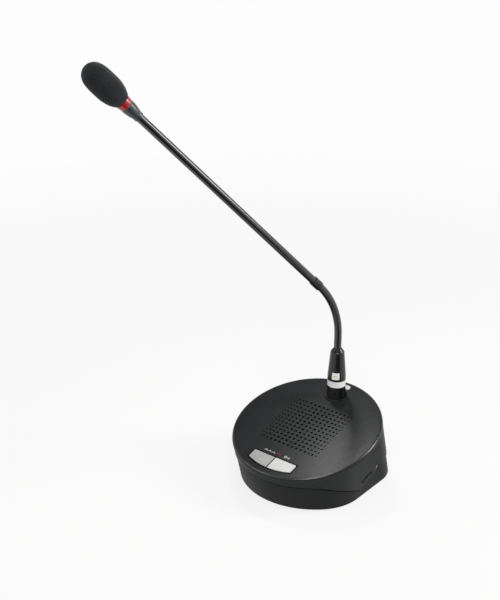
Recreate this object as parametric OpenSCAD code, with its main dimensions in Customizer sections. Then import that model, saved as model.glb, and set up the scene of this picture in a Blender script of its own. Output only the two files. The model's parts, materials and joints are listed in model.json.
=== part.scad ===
// Conference chairman unit: a round desk base with a sloping top, a speaker grille and two keys,
// and a gooseneck microphone plugged into a latching socket at the rear of the top.
// +Z is up, the person speaking sits at -Y, and the origin is on the table under the centre of the top.
// Pieces on the sloping top use its own axes: u to the right, v up the slope, w out of the face.

/* [Case] */
// Radius of the round rim of the top
case_r = 77; // [72:0.5:80]
// Height of the top's centre above the table
top_z = 59; // [56:0.5:66]
// Slope of the top, down towards the person speaking
top_tilt = 15; // [13:0.5:16]
// Wall thickness of both case halves
wall = 2.5; // [2:0.1:3]
// Rounding of the rim's upper edge
rim_round = 2.4; // [1:0.1:3.5]
// Thickness of the rim where it stands out over the side flats
brim_t = 4; // [4:0.1:6]
// How far the rim stands out over the round wall
brim_over = 0.3; // [0.2:0.1:2]
// Half the width across the side flats
flat_x = 68.3; // [66:0.1:70]
// Rounding at the front end of each flat
flat_round_front = 50; // [40:1:56]
// Rounding at the rear end of each flat
flat_round_rear = 34; // [15:1:40]
// How far the lower half stands in behind the upper half
lower_inset = 0.9; // [0.6:0.1:1.6]
// Height of the split between the halves at the front
split_front_z = 29.5; // [27:0.5:32]
// Place from front to rear at which the split starts to drop towards the side
split_front_y = -50; // [-56:1:-44]
// Place from front to rear of the split's lowest point
split_dip_y = -2; // [-6:1:4]
// Height of the lowest point of the split
split_dip_z = 10.3; // [9.5:0.1:12]
// Gap that shows between the halves
split_gap = 1.2; // [0.4:0.1:1.4]

/* [Grille] */
// Columns of holes
grille_columns = 15; // [11:2:15]
// Rows of holes
grille_rows = 13; // [9:2:13]
// Spacing of the middle columns
column_pitch = 5.34; // [4.8:0.02:5.5]
// Spacing of the rows
row_pitch = 5.24; // [4.8:0.02:5.3]
// Diameter of the middle holes
hole_d = 2.9; // [2:0.1:3.2]
// Share of the middle diameter left at the end columns
hole_fade = 0.6; // [0.5:0.05:1]
// Place of the grille's middle up the slope
grille_v = -1; // [-3:0.5:1]

/* [Keys] */
// Half the width of the pair of keys
key_half = 25.5; // [22:0.5:26]
// Distance of the keys' straight rear edge in front of the middle
key_rear = 53; // [52.5:0.1:55]
// Radius of the keys' curved front edge
key_arc_r = 68.3; // [66:0.1:68.8]
// Gap round the pair of keys
key_gap = 0.9; // [0.4:0.1:1.1]
// Gap between the two keys
key_split = 1.4; // [0.6:0.1:1.8]
// How far the keys stand above the top
key_proud = 0.7; // [0.3:0.1:1.5]
// How far a key goes down when pressed
key_travel = 1.2; // [0.8:0.1:1.5]
// Length of the status light
led_l = 5.2; // [3:0.1:7]
// Width of the status light
led_w = 1.6; // [1:0.1:2.5]
// Distance of the status light in front of the middle
led_v = 47.4; // [46.8:0.1:48]

/* [Speaker] */
// Outer radius of the speaker frame
speaker_r = 35; // [32:0.5:35]
// Depth of the speaker basket
basket_depth = 14; // [12:0.5:18]
// Radius of the magnet
magnet_r = 15; // [12:0.5:18]
// Thickness of the magnet
magnet_t = 8; // [6:0.5:10]

/* [Side controls] */
// Radius of the volume thumbwheel
wheel_r = 11; // [10.5:0.1:11.5]
// Thickness of the thumbwheel
wheel_t = 1.7; // [1.4:0.1:2]
// How far the thumbwheel stands out of the flat
wheel_out = 1.2; // [0.8:0.1:1.6]
// Place of the thumbwheel along the slope
wheel_v = -0.6; // [-2:0.1:0.5]
// Place of the thumbwheel below the top
wheel_w = -40.3; // [-41:0.1:-39.5]
// Place of the headphone socket along the slope
jack_v = 18.3; // [17.8:0.1:20]
// Radius of the hole that takes a headphone plug
jack_bore_r = 1.8; // [1.7:0.05:2]

/* [Microphone plug] */
// Place of the microphone socket behind the middle
plug_y = 51.3; // [50.8:0.1:51.6]
// Height of the lower edge of the plug's shell
plug_z = 72.7; // [72:0.1:74]
// Largest radius of the plug's shell
plug_r = 9.5; // [9.2:0.1:9.8]
// Radius of the plug's shell under its shoulder
plug_neck_r = 7.15; // [6.6:0.05:8]
// Height of the straight part of the shell
plug_straight = 25; // [20:0.5:30]
// Height of the tapered part of the shell
plug_taper = 26; // [24:0.1:30]
// Height of the shoulder on top of the shell
plug_shoulder = 3.7; // [3.6:0.1:5]
// Radius of the metal sleeve that enters the socket
sleeve_r = 7.9; // [7.7:0.05:8]
// How deep the metal sleeve enters the socket
sleeve_in = 15.7; // [14:0.1:16]

/* [Gooseneck] */
// Turn of the bent neck to the left of straight ahead
neck_left = 25; // [0:1:40]
// Angle through which the neck bends forwards
neck_bend = 44; // [30:1:60]
// Radius of the bend
neck_bend_r = 82; // [76:1:95]
// Straight length between the plug and the bend
neck_straight = 14.9; // [12:0.1:18]
// Outer radius of the flexible sleeve
flex_r = 3.85; // [3.7:0.05:4]
// Spacing of the joints in the neck's core
link_pitch = 9; // [8.8:0.1:9.1]

/* [Microphone] */
// Outer radius of the stem tube
stem_r = 3.95; // [3.8:0.05:4.1]
// Length of the stem that shows
stem_len = 251.6; // [150:1:350]
// Outer radius of the collar under the stem
collar_r = 4.8; // [4.7:0.05:5.4]
// Length of the collar
collar_len = 11; // [9:0.5:14]
// Length of the flared neck above the stem
flare_len = 16.3; // [14:0.1:20]
// Length of the light ring
ring_len = 5.9; // [4:0.1:8]
// Length of the foam windscreen
foam_len = 44; // [40:0.5:60]
// Largest radius of the windscreen
foam_r = 12.4; // [12.2:0.1:14]

/* [Hidden] */

big = 400;
round_fn = 128;
small_fn = 48;
// Clearance of a sliding or dropped-in piece, and of a piece that turns
slide_gap = 0.3;
turn_gap = 0.2;
// Clearance of a screw or a pin in its hole, and of a sprung piece under its stop
pin_gap = 0.1;
stop_gap = 0.1;

// The places above are given for a case of this radius, and move with the case
plan_r = 77;
plan_scale = case_r / plan_r;
side_x = flat_x * plan_scale;
mic_y = plug_y * plan_scale;

wall_r = case_r - brim_over;
body_depth = top_z + case_r;
floor_t = 2.5;
tongue_up = 0.4;
drop_round = 20;
dip_round = 5;
foot_h = 1.5;
foot_r = 6;
foot_recess = 0.8;
foot_places = case_r * [[-0.36, -0.558], [0.36, -0.558], [-0.597, 0.799], [0.597, 0.799]];
floor_z = foot_h + floor_t;

// Screw posts that join the halves
post_r = 4;
post_joint_z = 20;
post_seat = 8;
post_places = case_r * [[-0.52, -0.442], [0.52, -0.442], [-0.6, 0.545], [0.6, 0.545]];
screw_r = 1.5;
screw_head_r = 3;
screw_head_h = 2;
screw_in = 9;
small_screw_r = 1.1;
small_head_r = 2.2;
small_head_h = 1.4;

// Boards
board_t = 1.6;
ballast_t = 3;
board_z = floor_z + ballast_t + 1;
board_half = 0.5325 * case_r;
board_front = -0.13 * case_r;
board_back = 0.78 * case_r;
board_tongue = 0.39 * case_r;
board_gap = 1.5;
board_posts = case_r * [[-0.48, -0.065], [0.48, -0.065], [-0.48, 0.714], [0.48, 0.714]];
board_post_r = 3;
ballast_half = 0.416 * case_r;
ballast_front = -0.156 * case_r;
ballast_back = 0.727 * case_r;
ballast_posts = case_r * [[-0.312, 0], [0.312, 0], [-0.312, 0.571], [0.312, 0.571]];

// Rear recess with its two bus sockets
recess_w = 0.805 * case_r;
recess_z = 8;
recess_h = 19;
recess_depth = 9.1;
recess_back = (wall_r - lower_inset + (top_z - recess_z - recess_h / 2) * sin(top_tilt)) / cos(top_tilt);
recess_y = recess_back - recess_depth;
bus_x = 17;
bus_r = 8;
bus_nose = 0.6;
bus_block = 13;
bus_bore_r = 6.75;
bus_bore_depth = 7;
bus_insert_r = 6.4;
bus_insert_t = 2;
bus_rim = 0.4;
bus_z = board_z + board_t + bus_r + bus_rim;

// Keys and their board
key_flange = 1.5;
key_flange_t = 1.4;
key_side_u = key_half * plan_scale;
key_back_v = key_rear * plan_scale;
key_front_r = key_arc_r * plan_scale;
led_place_v = led_v * plan_scale;
key_place = case_r * [0.1714, -0.7792];
key_post_w = -8;
key_board_w = -14;
key_board_r = case_r - 9;
key_board_half = 0.43 * case_r;
key_board_back = 0.587 * case_r;
key_board_posts = case_r * [[-0.39, -0.747], [0.39, -0.747], [-0.286, -0.623], [0.286, -0.623]];
key_board_post_r = 2.4;
switch_w = 10;
switch_h = 4.6;
plunger_r = 2;

// Speaker
cloth_t = 0.5;
cloth_size = [73, 68];
gasket_t = 1;
speaker_w = -wall - cloth_t - gasket_t;
frame_t = 1.2;
cone_r = speaker_r - 5;
ear_u = 40.5;
ear_v = 9;
ear_r = 3.6;
ear_boss_r = 3;
leg_gap = 16;

// Microphone socket
seat_z = 62;
flange_t = 3;
socket_r = 10.5;
barrel_r = 11;
barrel_drop = 15;
barrel_bottom = seat_z - flange_t - barrel_drop;
socket_bore_r = sleeve_r + turn_gap;
socket_w = 26;
socket_front = 13.3;
socket_back = 21.2;
socket_front_y = mic_y - socket_front;
socket_rear_y = mic_y + socket_back;
socket_screw_places = [[-10, -10.5], [10, -10.5]];
pad_half = 15;
contact_r = 1.5;
sleeve_up = 9.3;
pin_r = 1.15;
pin_circle = 3.8;
pin_angles = [30, 150, 270];
latch_w = 14;
latch_d = 5.6;
latch_back = 15.3;
latch_y = mic_y + latch_back;
latch_gap = 0.4;
latch_proud = 0.5;
latch_foot = 1.2;
latch_foot_t = 4.7;

// Side board, its controls and posts
side_board_w = -45.4;
side_board_t = 1.5;
side_board_in = [21.3, 4.3];
side_board_u = [side_x - side_board_in[0], side_x - side_board_in[1]];
side_board_v = [-12.5, 25];
side_post_in = 18.3;
side_post_u = side_x - side_post_in;
side_post_r = 2.6;
side_posts = [[side_post_u, -9], [side_post_u, 21.5]];
wheel_u = side_x + wheel_out - wheel_r;
wheel_slot = 2 * sqrt(pow(wheel_r, 2) - pow(wheel_r - wheel_out - wall, 2)) + 1.2;
wheel_notches = 36;
pot_h = 3.4;
pot_w = 10;
shaft_r = 1.5;
jack_w = side_board_w + 3;
jack_size = [12, 8, 6];
jack_set_back = 1.3;
jack_face = side_x - jack_set_back;
jack_ring_r = 3;

// Gooseneck: joints of the core and the line that the neck follows
joints = 8;
joint_first = 8.3;
neck_z = plug_z + plug_straight + plug_taper + plug_shoulder;
neck_arc = neck_bend_r * neck_bend * PI / 180;
neck_len = neck_straight + neck_arc;
neck_heading = -90 - neck_left;
flex_bore_r = flex_r - 0.55;
flex_in = 5.4;
flex_up = 3.6;
link_r = flex_bore_r - 0.35;
link_mouth = 0.6;
link_shoulder = 1.5;
ball_r = 1.7;
ball_neck_r = 0.9;
ball_socket_r = 1.95;
anchor_flange_r = 5.4;
anchor_flange_t = 3;

// Stem and head
stem_wall = 0.75;
collar_web = 4.8;
stem_in = 8;
lip_len = 3.5;
lip_r = stem_r + 0.75;
flare_r = 6.5;
ring_r = 7.3;
spigot_r = 4.3;
barrel_out_r = 6.2;
barrel_len = 29.8;
capsule_r = 5.2;
capsule_len = 7;
wire_r = 1.5;
foam_bore_r = barrel_out_r + 0.05;
foam_waist = foam_len * 18 / 44;

// A point on the sloping top's axes, in the frame of the part
function top_point(u, v, w) = [
    u,
    v * cos(top_tilt) - w * sin(top_tilt),
    top_z + v * sin(top_tilt) + w * cos(top_tilt)
];

function unit(p) = p / norm(p);

// Points of an arc of radius r that rounds the corner b between a and c
function rounded(a, b, c, r, steps) =
    let (
        d1 = unit(a - b),
        d2 = unit(c - b),
        half = acos(d1 * d2) / 2,
        centre = b + unit(d1 + d2) * r / sin(half),
        p1 = b + d1 * r / tan(half) - centre,
        p2 = b + d2 * r / tan(half) - centre,
        a1 = atan2(p1[1], p1[0]),
        turn = atan2(p1[0] * p2[1] - p1[1] * p2[0], p1 * p2)
    )
    [for (i = [0 : steps]) centre + r * [cos(a1 + turn * i / steps), sin(a1 + turn * i / steps)]];

// The split between the halves, seen from the side, moved up by dz
function split_line(dz) =
    let (
        start = [-big / 2, split_front_z + dz],
        drop = [split_front_y, split_front_z + dz],
        dip = [split_dip_y, split_dip_z + dz],
        end = [big / 2, split_dip_z + dz + (big / 2 - split_dip_y) * tan(top_tilt)]
    )
    concat([start], rounded(start, drop, dip, drop_round, 6), rounded(drop, dip, end, dip_round, 6), [end]);

// Column i of the grille: its place, drawn in a little towards the ends, and its hole
function column_u(i) = sign(i) * column_pitch * (abs(i) - 0.000255 * pow(abs(i), 4));
function column_d(i) = hole_d * (1 - (1 - hole_fade) * pow(abs(2 * i / (grille_columns - 1)), 3));

// The neck's line, by distance s from the top of the plug: turn, place forwards and height
function neck_turn(s) = max(0, min(1, (s - neck_straight) / neck_arc)) * neck_bend;
function neck_at(s) =
    let (a = neck_turn(s), past = max(0, s - neck_len))
    [
        neck_bend_r * (1 - cos(a)) + past * sin(neck_bend),
        neck_z + min(s, neck_straight) + neck_bend_r * sin(a) + past * cos(neck_bend)
    ];
function joint_at(i) = neck_at(joint_first + i * link_pitch);

// Outline of the windscreen: an ellipse below its widest ring and a blunter dome above it
function foam_at(s) =
    s < foam_waist
    ? foam_r * sqrt(1 - pow((foam_waist - s) / (1.25 * foam_waist), 2))
    : foam_r * sqrt(max(0, 1 - pow((s - foam_waist) / (foam_len - foam_waist), 4)));

module on_top() {
    translate([0, 0, top_z])
        rotate([top_tilt, 0, 0])
            children();
}

// Carries its child to the neck's plane, with X forwards along the lean
module at_neck() {
    translate([0, mic_y, 0])
        rotate([0, 0, neck_heading])
            children();
}

// Carries its child to the neck's line at distance s, with Z along the line
module along_neck(s) {
    p = neck_at(s);
    at_neck()
        translate([p[0], 0, p[1]])
            rotate([0, neck_turn(s), 0])
                children();
}

module at_head() {
    along_neck(neck_len + collar_len + stem_len)
        children();
}

// A flat shape with half-round ends
module stadium(length, width) {
    square([length - width, width], center = true);
    for (side = [-1, 1])
        translate([side * (length - width) / 2, 0])
            circle(d = width, $fn = small_fn);
}

// The corner that is cut away where a flat of half-width flat meets a circle of radius r
module flat_corner(r, flat, rc, end) {
    cx = flat - rc;
    cy = end * sqrt(pow(r - rc, 2) - pow(cx, 2));
    a = atan2(cy, cx);
    reach = rc + 12;
    translate([cx, cy])
        difference() {
            polygon([[0, 0], [reach, 0], 1.1 * reach * [cos(a / 2), sin(a / 2)], reach * [cos(a), sin(a)]]);
            circle(r = rc, $fn = round_fn);
        }
}

// Plan of the wall, square to the top: a circle with a rounded flat on each side
module wall_plan(inset) {
    r = wall_r - inset;
    flat = side_x - inset;
    difference() {
        intersection() {
            circle(r = r, $fn = 180);
            square([2 * flat, 3 * r], center = true);
        }
        for (side = [0, 1])
            mirror([side, 0]) {
                flat_corner(r, flat, flat_round_front * plan_scale - inset, -1);
                flat_corner(r, flat, flat_round_rear * plan_scale - inset, 1);
            }
    }
}

module wall_prism(inset, top) {
    on_top()
        translate([0, 0, -body_depth])
            linear_extrude(body_depth + top)
                wall_plan(inset);
}

// The rim: a round plate with a rounded upper edge, and a cone below it that meets the flats
module rim() {
    drop = case_r - side_x + wall;
    on_top()
        rotate_extrude($fn = 180)
            difference() {
                union() {
                    translate([0, -brim_t])
                        square([case_r, brim_t]);
                    polygon([
                        [0, -brim_t], [case_r, -brim_t],
                        [case_r - drop, -brim_t - drop], [0, -brim_t - drop]
                    ]);
                }
                translate([case_r - rim_round, -rim_round])
                    difference() {
                        square(rim_round + 1);
                        circle(r = rim_round, $fn = small_fn);
                    }
            }
}

// Everything above the split, or below it when it is moved up by dz
module above_split() {
    rotate([90, 0, 90])
        linear_extrude(big, center = true)
            polygon(concat(split_line(split_gap / 2), [[big / 2, big], [-big / 2, big]]));
}

module below_split(dz) {
    rotate([90, 0, 90])
        linear_extrude(big, center = true)
            polygon(concat(split_line(dz), [[big / 2, -big], [-big / 2, -big]]));
}

// Everything under the middle of the top's thickness
module below_top() {
    on_top()
        translate([-big / 2, -big / 2, -big - wall / 2])
            cube([big, big, big]);
}

module keys_plan(grow) {
    intersection() {
        circle(r = key_front_r + grow, $fn = 180);
        translate([-key_side_u - grow, -case_r])
            square([2 * (key_side_u + grow), case_r - key_back_v + grow]);
    }
}

module latch_plan(grow) {
    stadium(latch_w + 2 * grow, latch_d + 2 * grow);
}

// Body of a pan-head screw with its head's underside at the origin, pointing along +Z
module screw(r, length, head_r, head_h) {
    translate([0, 0, -head_h])
        cylinder(r = head_r, h = head_h, $fn = small_fn);
    cylinder(r = r, h = length, $fn = small_fn);
}

module upper_openings() {
    columns = (grille_columns - 1) / 2;
    on_top() {
        for (i = [-columns : columns])
            for (j = [0 : grille_rows - 1])
                translate([column_u(i), grille_v + (j - (grille_rows - 1) / 2) * row_pitch, -wall - 1])
                    cylinder(d = column_d(i), h = wall + 2, $fn = 16);
        translate([0, 0, -wall - 1]) {
            linear_extrude(wall + 2)
                keys_plan(key_gap);
            translate([0, -led_place_v])
                linear_extrude(wall + 2)
                    stadium(led_l + 2 * turn_gap, led_w + 2 * turn_gap);
        }
        translate([wheel_u, wheel_v - wheel_slot / 2, wheel_w - wheel_t / 2 - slide_gap])
            cube([wheel_r + 5, wheel_slot, wheel_t + 2 * slide_gap]);
        translate([side_x - wall - 1, jack_v, jack_w])
            rotate([0, 90, 0])
                cylinder(r = jack_ring_r + slide_gap, h = wall + 2, $fn = small_fn);
        for (p = key_board_posts)
            translate([p[0], p[1], key_board_w - 1])
                cylinder(r = small_screw_r + pin_gap, h = 8, $fn = small_fn);
        for (side = [-1, 1])
            for (end = [-1, 1])
                translate([side * ear_u, grille_v + end * ear_v, speaker_w - 1])
                    cylinder(r = small_screw_r + pin_gap, h = 1 - speaker_w - 0.6, $fn = small_fn);
    }
    translate([0, mic_y, seat_z - 1]) {
        cylinder(r = socket_r + slide_gap, h = body_depth, $fn = round_fn);
        for (p = socket_screw_places)
            translate([p[0], p[1], 0])
                cylinder(r = screw_r + pin_gap, h = 4, $fn = small_fn);
    }
    translate([0, latch_y, seat_z - 1])
        linear_extrude(body_depth)
            latch_plan(latch_gap);
    for (p = post_places)
        translate([p[0], p[1], post_joint_z - 1])
            cylinder(r = screw_r + pin_gap, h = screw_in + 3, $fn = small_fn);
}

// Upper half: the sloping top, its rim and wall, and what is moulded inside
module upper_case() {
    color("#2e2f31")
        difference() {
            union() {
                intersection() {
                    difference() {
                        union() {
                            rim();
                            wall_prism(0, -brim_t);
                        }
                        wall_prism(wall, -wall);
                    }
                    above_split();
                }
                intersection() {
                    below_top();
                    union() {
                        for (p = post_places)
                            translate([p[0], p[1], post_joint_z])
                                cylinder(r = post_r, h = body_depth, $fn = small_fn);
                        on_top() {
                            for (p = key_board_posts)
                                translate([p[0], p[1], key_board_w])
                                    cylinder(r = key_board_post_r, h = -key_board_w, $fn = small_fn);
                            for (side = [-1, 1])
                                for (end = [-1, 1])
                                    translate([side * ear_u, grille_v + end * ear_v, speaker_w])
                                        cylinder(r = ear_boss_r, h = -speaker_w, $fn = small_fn);
                        }
                    }
                }
                // Level pad under the slope, to which the microphone socket is screwed
                intersection() {
                    wall_prism(wall / 2, -wall / 2);
                    translate([-pad_half, socket_front_y, seat_z])
                        cube([2 * pad_half, case_r, body_depth]);
                }
            }
            upper_openings();
        }
}

// Lower half: the tray with its posts, a tongue behind the split and the rear recess
module lower_case() {
    color("#353638")
        difference() {
            union() {
                difference() {
                    intersection() {
                        union() {
                            intersection() {
                                wall_prism(lower_inset, -brim_t);
                                below_split(-split_gap / 2);
                            }
                            intersection() {
                                wall_prism(wall + turn_gap, -brim_t);
                                below_split(split_gap / 2 + tongue_up);
                            }
                        }
                        translate([-big / 2, -big / 2, foot_h])
                            cube([big, big, big]);
                    }
                    intersection() {
                        wall_prism(lower_inset + wall, 0);
                        translate([-big / 2, -big / 2, floor_z])
                            cube([big, big, big]);
                    }
                }
                for (p = post_places)
                    translate([p[0], p[1], foot_h])
                        cylinder(r = post_r, h = post_joint_z - foot_h, $fn = small_fn);
                for (p = board_posts)
                    translate([p[0], p[1], foot_h])
                        cylinder(r = board_post_r, h = board_z - foot_h, $fn = small_fn);
                intersection() {
                    on_top()
                        translate([-big / 2, -big / 2, -big + side_board_w - side_board_t])
                            cube([big, big, big]);
                    for (p = side_posts)
                        let (q = top_point(p[0], p[1], side_board_w))
                            translate([q[0], q[1], foot_h])
                                cylinder(r = side_post_r, h = body_depth, $fn = small_fn);
                }
                intersection() {
                    wall_prism(lower_inset + wall / 2, 0);
                    translate([-recess_w / 2 - wall, recess_y - wall, foot_h])
                        cube([recess_w + 2 * wall, case_r, recess_z + recess_h + wall - foot_h]);
                }
            }
            translate([-recess_w / 2, recess_y, recess_z])
                cube([recess_w, case_r, recess_h]);
            for (side = [-1, 1])
                translate([side * bus_x, recess_y - wall - 1, bus_z])
                    rotate([-90, 0, 0])
                        cylinder(r = bus_r + turn_gap, h = wall + 2, $fn = round_fn);
            for (p = post_places)
                translate([p[0], p[1], 0]) {
                    cylinder(r = screw_r + pin_gap, h = post_joint_z + 1, $fn = small_fn);
                    cylinder(r = screw_head_r + turn_gap, h = post_joint_z - post_seat, $fn = small_fn);
                }
            for (p = board_posts)
                translate([p[0], p[1], floor_z])
                    cylinder(r = screw_r + pin_gap, h = 10, $fn = small_fn);
            for (p = ballast_posts)
                translate([p[0], p[1], floor_z - 1.8])
                    cylinder(r = screw_r + pin_gap, h = 10, $fn = small_fn);
            for (p = foot_places)
                translate([p[0], p[1], 0])
                    cylinder(r = foot_r, h = foot_h + foot_recess, $fn = small_fn);
            on_top() {
                for (p = side_posts)
                    translate([p[0], p[1], side_board_w - 7])
                        cylinder(r = small_screw_r + pin_gap, h = 8, $fn = small_fn);
                // Notch that lets the headphone socket stand close to the wall
                translate([side_board_u[1], jack_v - jack_size[1] / 2 - slide_gap, side_board_w - slide_gap])
                    cube([side_x - wall - side_board_u[1], jack_size[1] + 2 * slide_gap, body_depth]);
            }
        }
}

module rubber_feet() {
    color("#1c1c1c")
        for (p = foot_places)
            translate([p[0], p[1], 0]) {
                cylinder(r1 = foot_r - 1.2, r2 = foot_r - 0.4, h = 0.8, $fn = small_fn);
                translate([0, 0, 0.8])
                    cylinder(r = foot_r - 0.4, h = foot_h + foot_recess - 0.8, $fn = small_fn);
            }
}

module case_screws() {
    color("#8a8c8f")
        for (p = post_places)
            translate([p[0], p[1], post_joint_z - post_seat])
                screw(screw_r, post_seat + screw_in, screw_head_r, screw_head_h);
}

module ballast_plate() {
    color("#7d8084")
        difference() {
            translate([-ballast_half, ballast_front, floor_z])
                cube([2 * ballast_half, ballast_back - ballast_front, ballast_t]);
            for (p = ballast_posts)
                translate([p[0], p[1], floor_z]) {
                    translate([0, 0, -1])
                        cylinder(r = screw_r + pin_gap, h = ballast_t + 2, $fn = small_fn);
                    translate([0, 0, ballast_t - screw_head_h])
                        cylinder(r = screw_head_r + turn_gap, h = screw_head_h + 1, $fn = small_fn);
                }
        }
}

module ballast_screws() {
    color("#8a8c8f")
        for (p = ballast_posts)
            translate([p[0], p[1], floor_z + ballast_t - screw_head_h])
                mirror([0, 0, 1])
                    screw(screw_r, ballast_t - screw_head_h + 1.5, screw_head_r, screw_head_h);
}

module main_board() {
    color("#1f5a3a")
        difference() {
            union() {
                translate([-board_half, board_front, board_z])
                    cube([2 * board_half, board_back - board_front, board_t]);
                translate([-board_tongue, board_front, board_z])
                    cube([2 * board_tongue, recess_y - wall - board_gap - board_front, board_t]);
            }
            for (p = board_posts)
                translate([p[0], p[1], board_z - 1])
                    cylinder(r = screw_r + pin_gap, h = board_t + 2, $fn = small_fn);
        }
}

module board_screws() {
    color("#8a8c8f")
        for (p = board_posts)
            translate([p[0], p[1], board_z + board_t])
                mirror([0, 0, 1])
                    screw(screw_r, board_t + 3, screw_head_r, screw_head_h);
}

// Round bus sockets on the main board, reaching through the recess's panel
module bus_sockets() {
    nose = recess_y + bus_nose;
    color("#26272a")
        for (side = [-1, 1])
            translate([side * bus_x, 0, bus_z])
                difference() {
                    union() {
                        translate([-bus_r - bus_rim, recess_y - wall - bus_block, -bus_r - bus_rim])
                            cube([2 * (bus_r + bus_rim), bus_block, 2 * (bus_r + bus_rim)]);
                        translate([0, recess_y - wall - 1, 0])
                            rotate([-90, 0, 0])
                                cylinder(r = bus_r, h = nose - recess_y + wall + 1, $fn = round_fn);
                    }
                    translate([0, nose - bus_bore_depth, 0])
                        rotate([-90, 0, 0]) {
                            cylinder(r = bus_bore_r, h = bus_bore_depth + 1, $fn = round_fn);
                            translate([0, 0, -bus_insert_t])
                                cylinder(r = bus_insert_r + pin_gap, h = bus_insert_t + 1, $fn = round_fn);
                        }
                }
}

module bus_inserts() {
    color("#101012")
        for (side = [-1, 1])
            translate([side * bus_x, recess_y + bus_nose - bus_bore_depth - bus_insert_t, bus_z])
                rotate([-90, 0, 0])
                    difference() {
                        cylinder(r = bus_insert_r, h = bus_insert_t, $fn = round_fn);
                        for (k = [0 : 6])
                            rotate([0, 0, -45 + 45 * k])
                                translate([3.5, 0, 0.6])
                                    cylinder(r = 0.7, h = bus_insert_t, $fn = 24);
                    }
}

module key_board() {
    color("#1f5a3a")
        on_top()
            difference() {
                translate([0, 0, key_board_w - board_t])
                    linear_extrude(board_t)
                        intersection() {
                            circle(r = key_board_r, $fn = 180);
                            translate([-key_board_half, -case_r])
                                square([2 * key_board_half, case_r - key_board_back]);
                        }
                for (p = key_board_posts)
                    translate([p[0], p[1], key_board_w - board_t - 1])
                        cylinder(r = small_screw_r + pin_gap, h = board_t + 2, $fn = small_fn);
            }
}

module key_board_screws() {
    color("#8a8c8f")
        on_top()
            for (p = key_board_posts)
                translate([p[0], p[1], key_board_w - board_t])
                    screw(small_screw_r, board_t + 5, small_head_r, small_head_h);
}

module switch_bodies() {
    color("#1a1a1c")
        on_top()
            for (side = [-1, 1])
                translate([side * key_place[0], key_place[1], key_board_w])
                    difference() {
                        translate([-switch_w / 2, -switch_w / 2, 0])
                            cube([switch_w, switch_w, switch_h]);
                        translate([0, 0, 0.6])
                            cylinder(r = plunger_r + pin_gap, h = switch_h, $fn = small_fn);
                    }
}

// Plunger that a key pushes into its switch
module plunger(side) {
    bottom = key_board_w + 0.6 + key_travel + 0.4;
    color("#d8d4c8")
        on_top()
            translate([side * key_place[0], key_place[1], bottom])
                cylinder(r = plunger_r, h = key_post_w - bottom, $fn = small_fn);
}

module priority_plunger() {
    plunger(-1);
}

module talk_plunger() {
    plunger(1);
}

// One half of a plan, on the left (side -1) or the right (side 1) of the line between the keys
module half_plan(side) {
    intersection() {
        children();
        translate([side > 0 ? key_split / 2 : -case_r - key_split / 2, -2 * case_r])
            square([case_r, 2 * case_r]);
    }
}

// A key: its cap in the opening, the flange that holds it under the top, and the post on its switch
module key(side, tint) {
    flange_top = -wall - stop_gap;
    color(tint)
        on_top() {
            translate([0, 0, flange_top - key_flange_t])
                linear_extrude(key_flange_t)
                    half_plan(side)
                        keys_plan(key_flange);
            translate([0, 0, flange_top - 0.1])
                linear_extrude(key_proud - flange_top + 0.1)
                    half_plan(side)
                        keys_plan(0);
            translate([side * key_place[0], key_place[1], key_post_w])
                cylinder(r = 3, h = flange_top - key_flange_t / 2 - key_post_w, $fn = small_fn);
        }
}

module priority_button() {
    key(-1, "#b5b5b2");
}

module talk_button() {
    key(1, "#e4e4e0");
}

// Light guide of the status light, standing on the key board
module led_lens() {
    color("#b3202a")
        on_top()
            translate([0, -led_place_v, key_board_w])
                linear_extrude(0.15 - key_board_w)
                    stadium(led_l, led_w);
}

module grille_cloth() {
    color("#0f0f10")
        on_top()
            translate([0, grille_v, -wall - cloth_t / 2])
                cube([cloth_size[0], cloth_size[1], cloth_t], center = true);
}

module speaker_gasket() {
    color("#202022")
        on_top()
            translate([0, grille_v, speaker_w])
                difference() {
                    cylinder(r = speaker_r, h = gasket_t, $fn = round_fn);
                    translate([0, 0, -1])
                        cylinder(r = speaker_r - 3, h = gasket_t + 2, $fn = round_fn);
                }
}

// Basket of the speaker: flange, ears, four legs and the plate that carries the magnet
module speaker_frame() {
    foot_radius = magnet_r + 1;
    color("#4a4c50")
        on_top()
            translate([0, grille_v, speaker_w]) {
                difference() {
                    union() {
                        rotate_extrude($fn = round_fn)
                            polygon([
                                [cone_r, 0], [speaker_r, 0], [speaker_r, -frame_t],
                                [cone_r + 1.4, -frame_t], [foot_radius, -basket_depth],
                                [foot_radius, -basket_depth - frame_t], [6, -basket_depth - frame_t],
                                [6, -basket_depth], [foot_radius - 1.6, -basket_depth]
                            ]);
                        for (end = [-1, 1])
                            translate([0, end * ear_v, -frame_t])
                                linear_extrude(frame_t)
                                    stadium(2 * (ear_u + ear_r), 2 * ear_r);
                    }
                    for (k = [0 : 3])
                        rotate([0, 0, 45 + 90 * k])
                            translate([foot_radius + 1, -leg_gap / 2, -basket_depth + 1])
                                cube([speaker_r, leg_gap, basket_depth - frame_t - 2]);
                    translate([0, 0, -frame_t - 1])
                        cylinder(r = cone_r, h = frame_t + 2, $fn = round_fn);
                    for (side = [-1, 1])
                        for (end = [-1, 1])
                            translate([side * ear_u, end * ear_v, -frame_t - 1])
                                cylinder(r = small_screw_r + pin_gap, h = frame_t + 2, $fn = small_fn);
                }
            }
}

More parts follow.
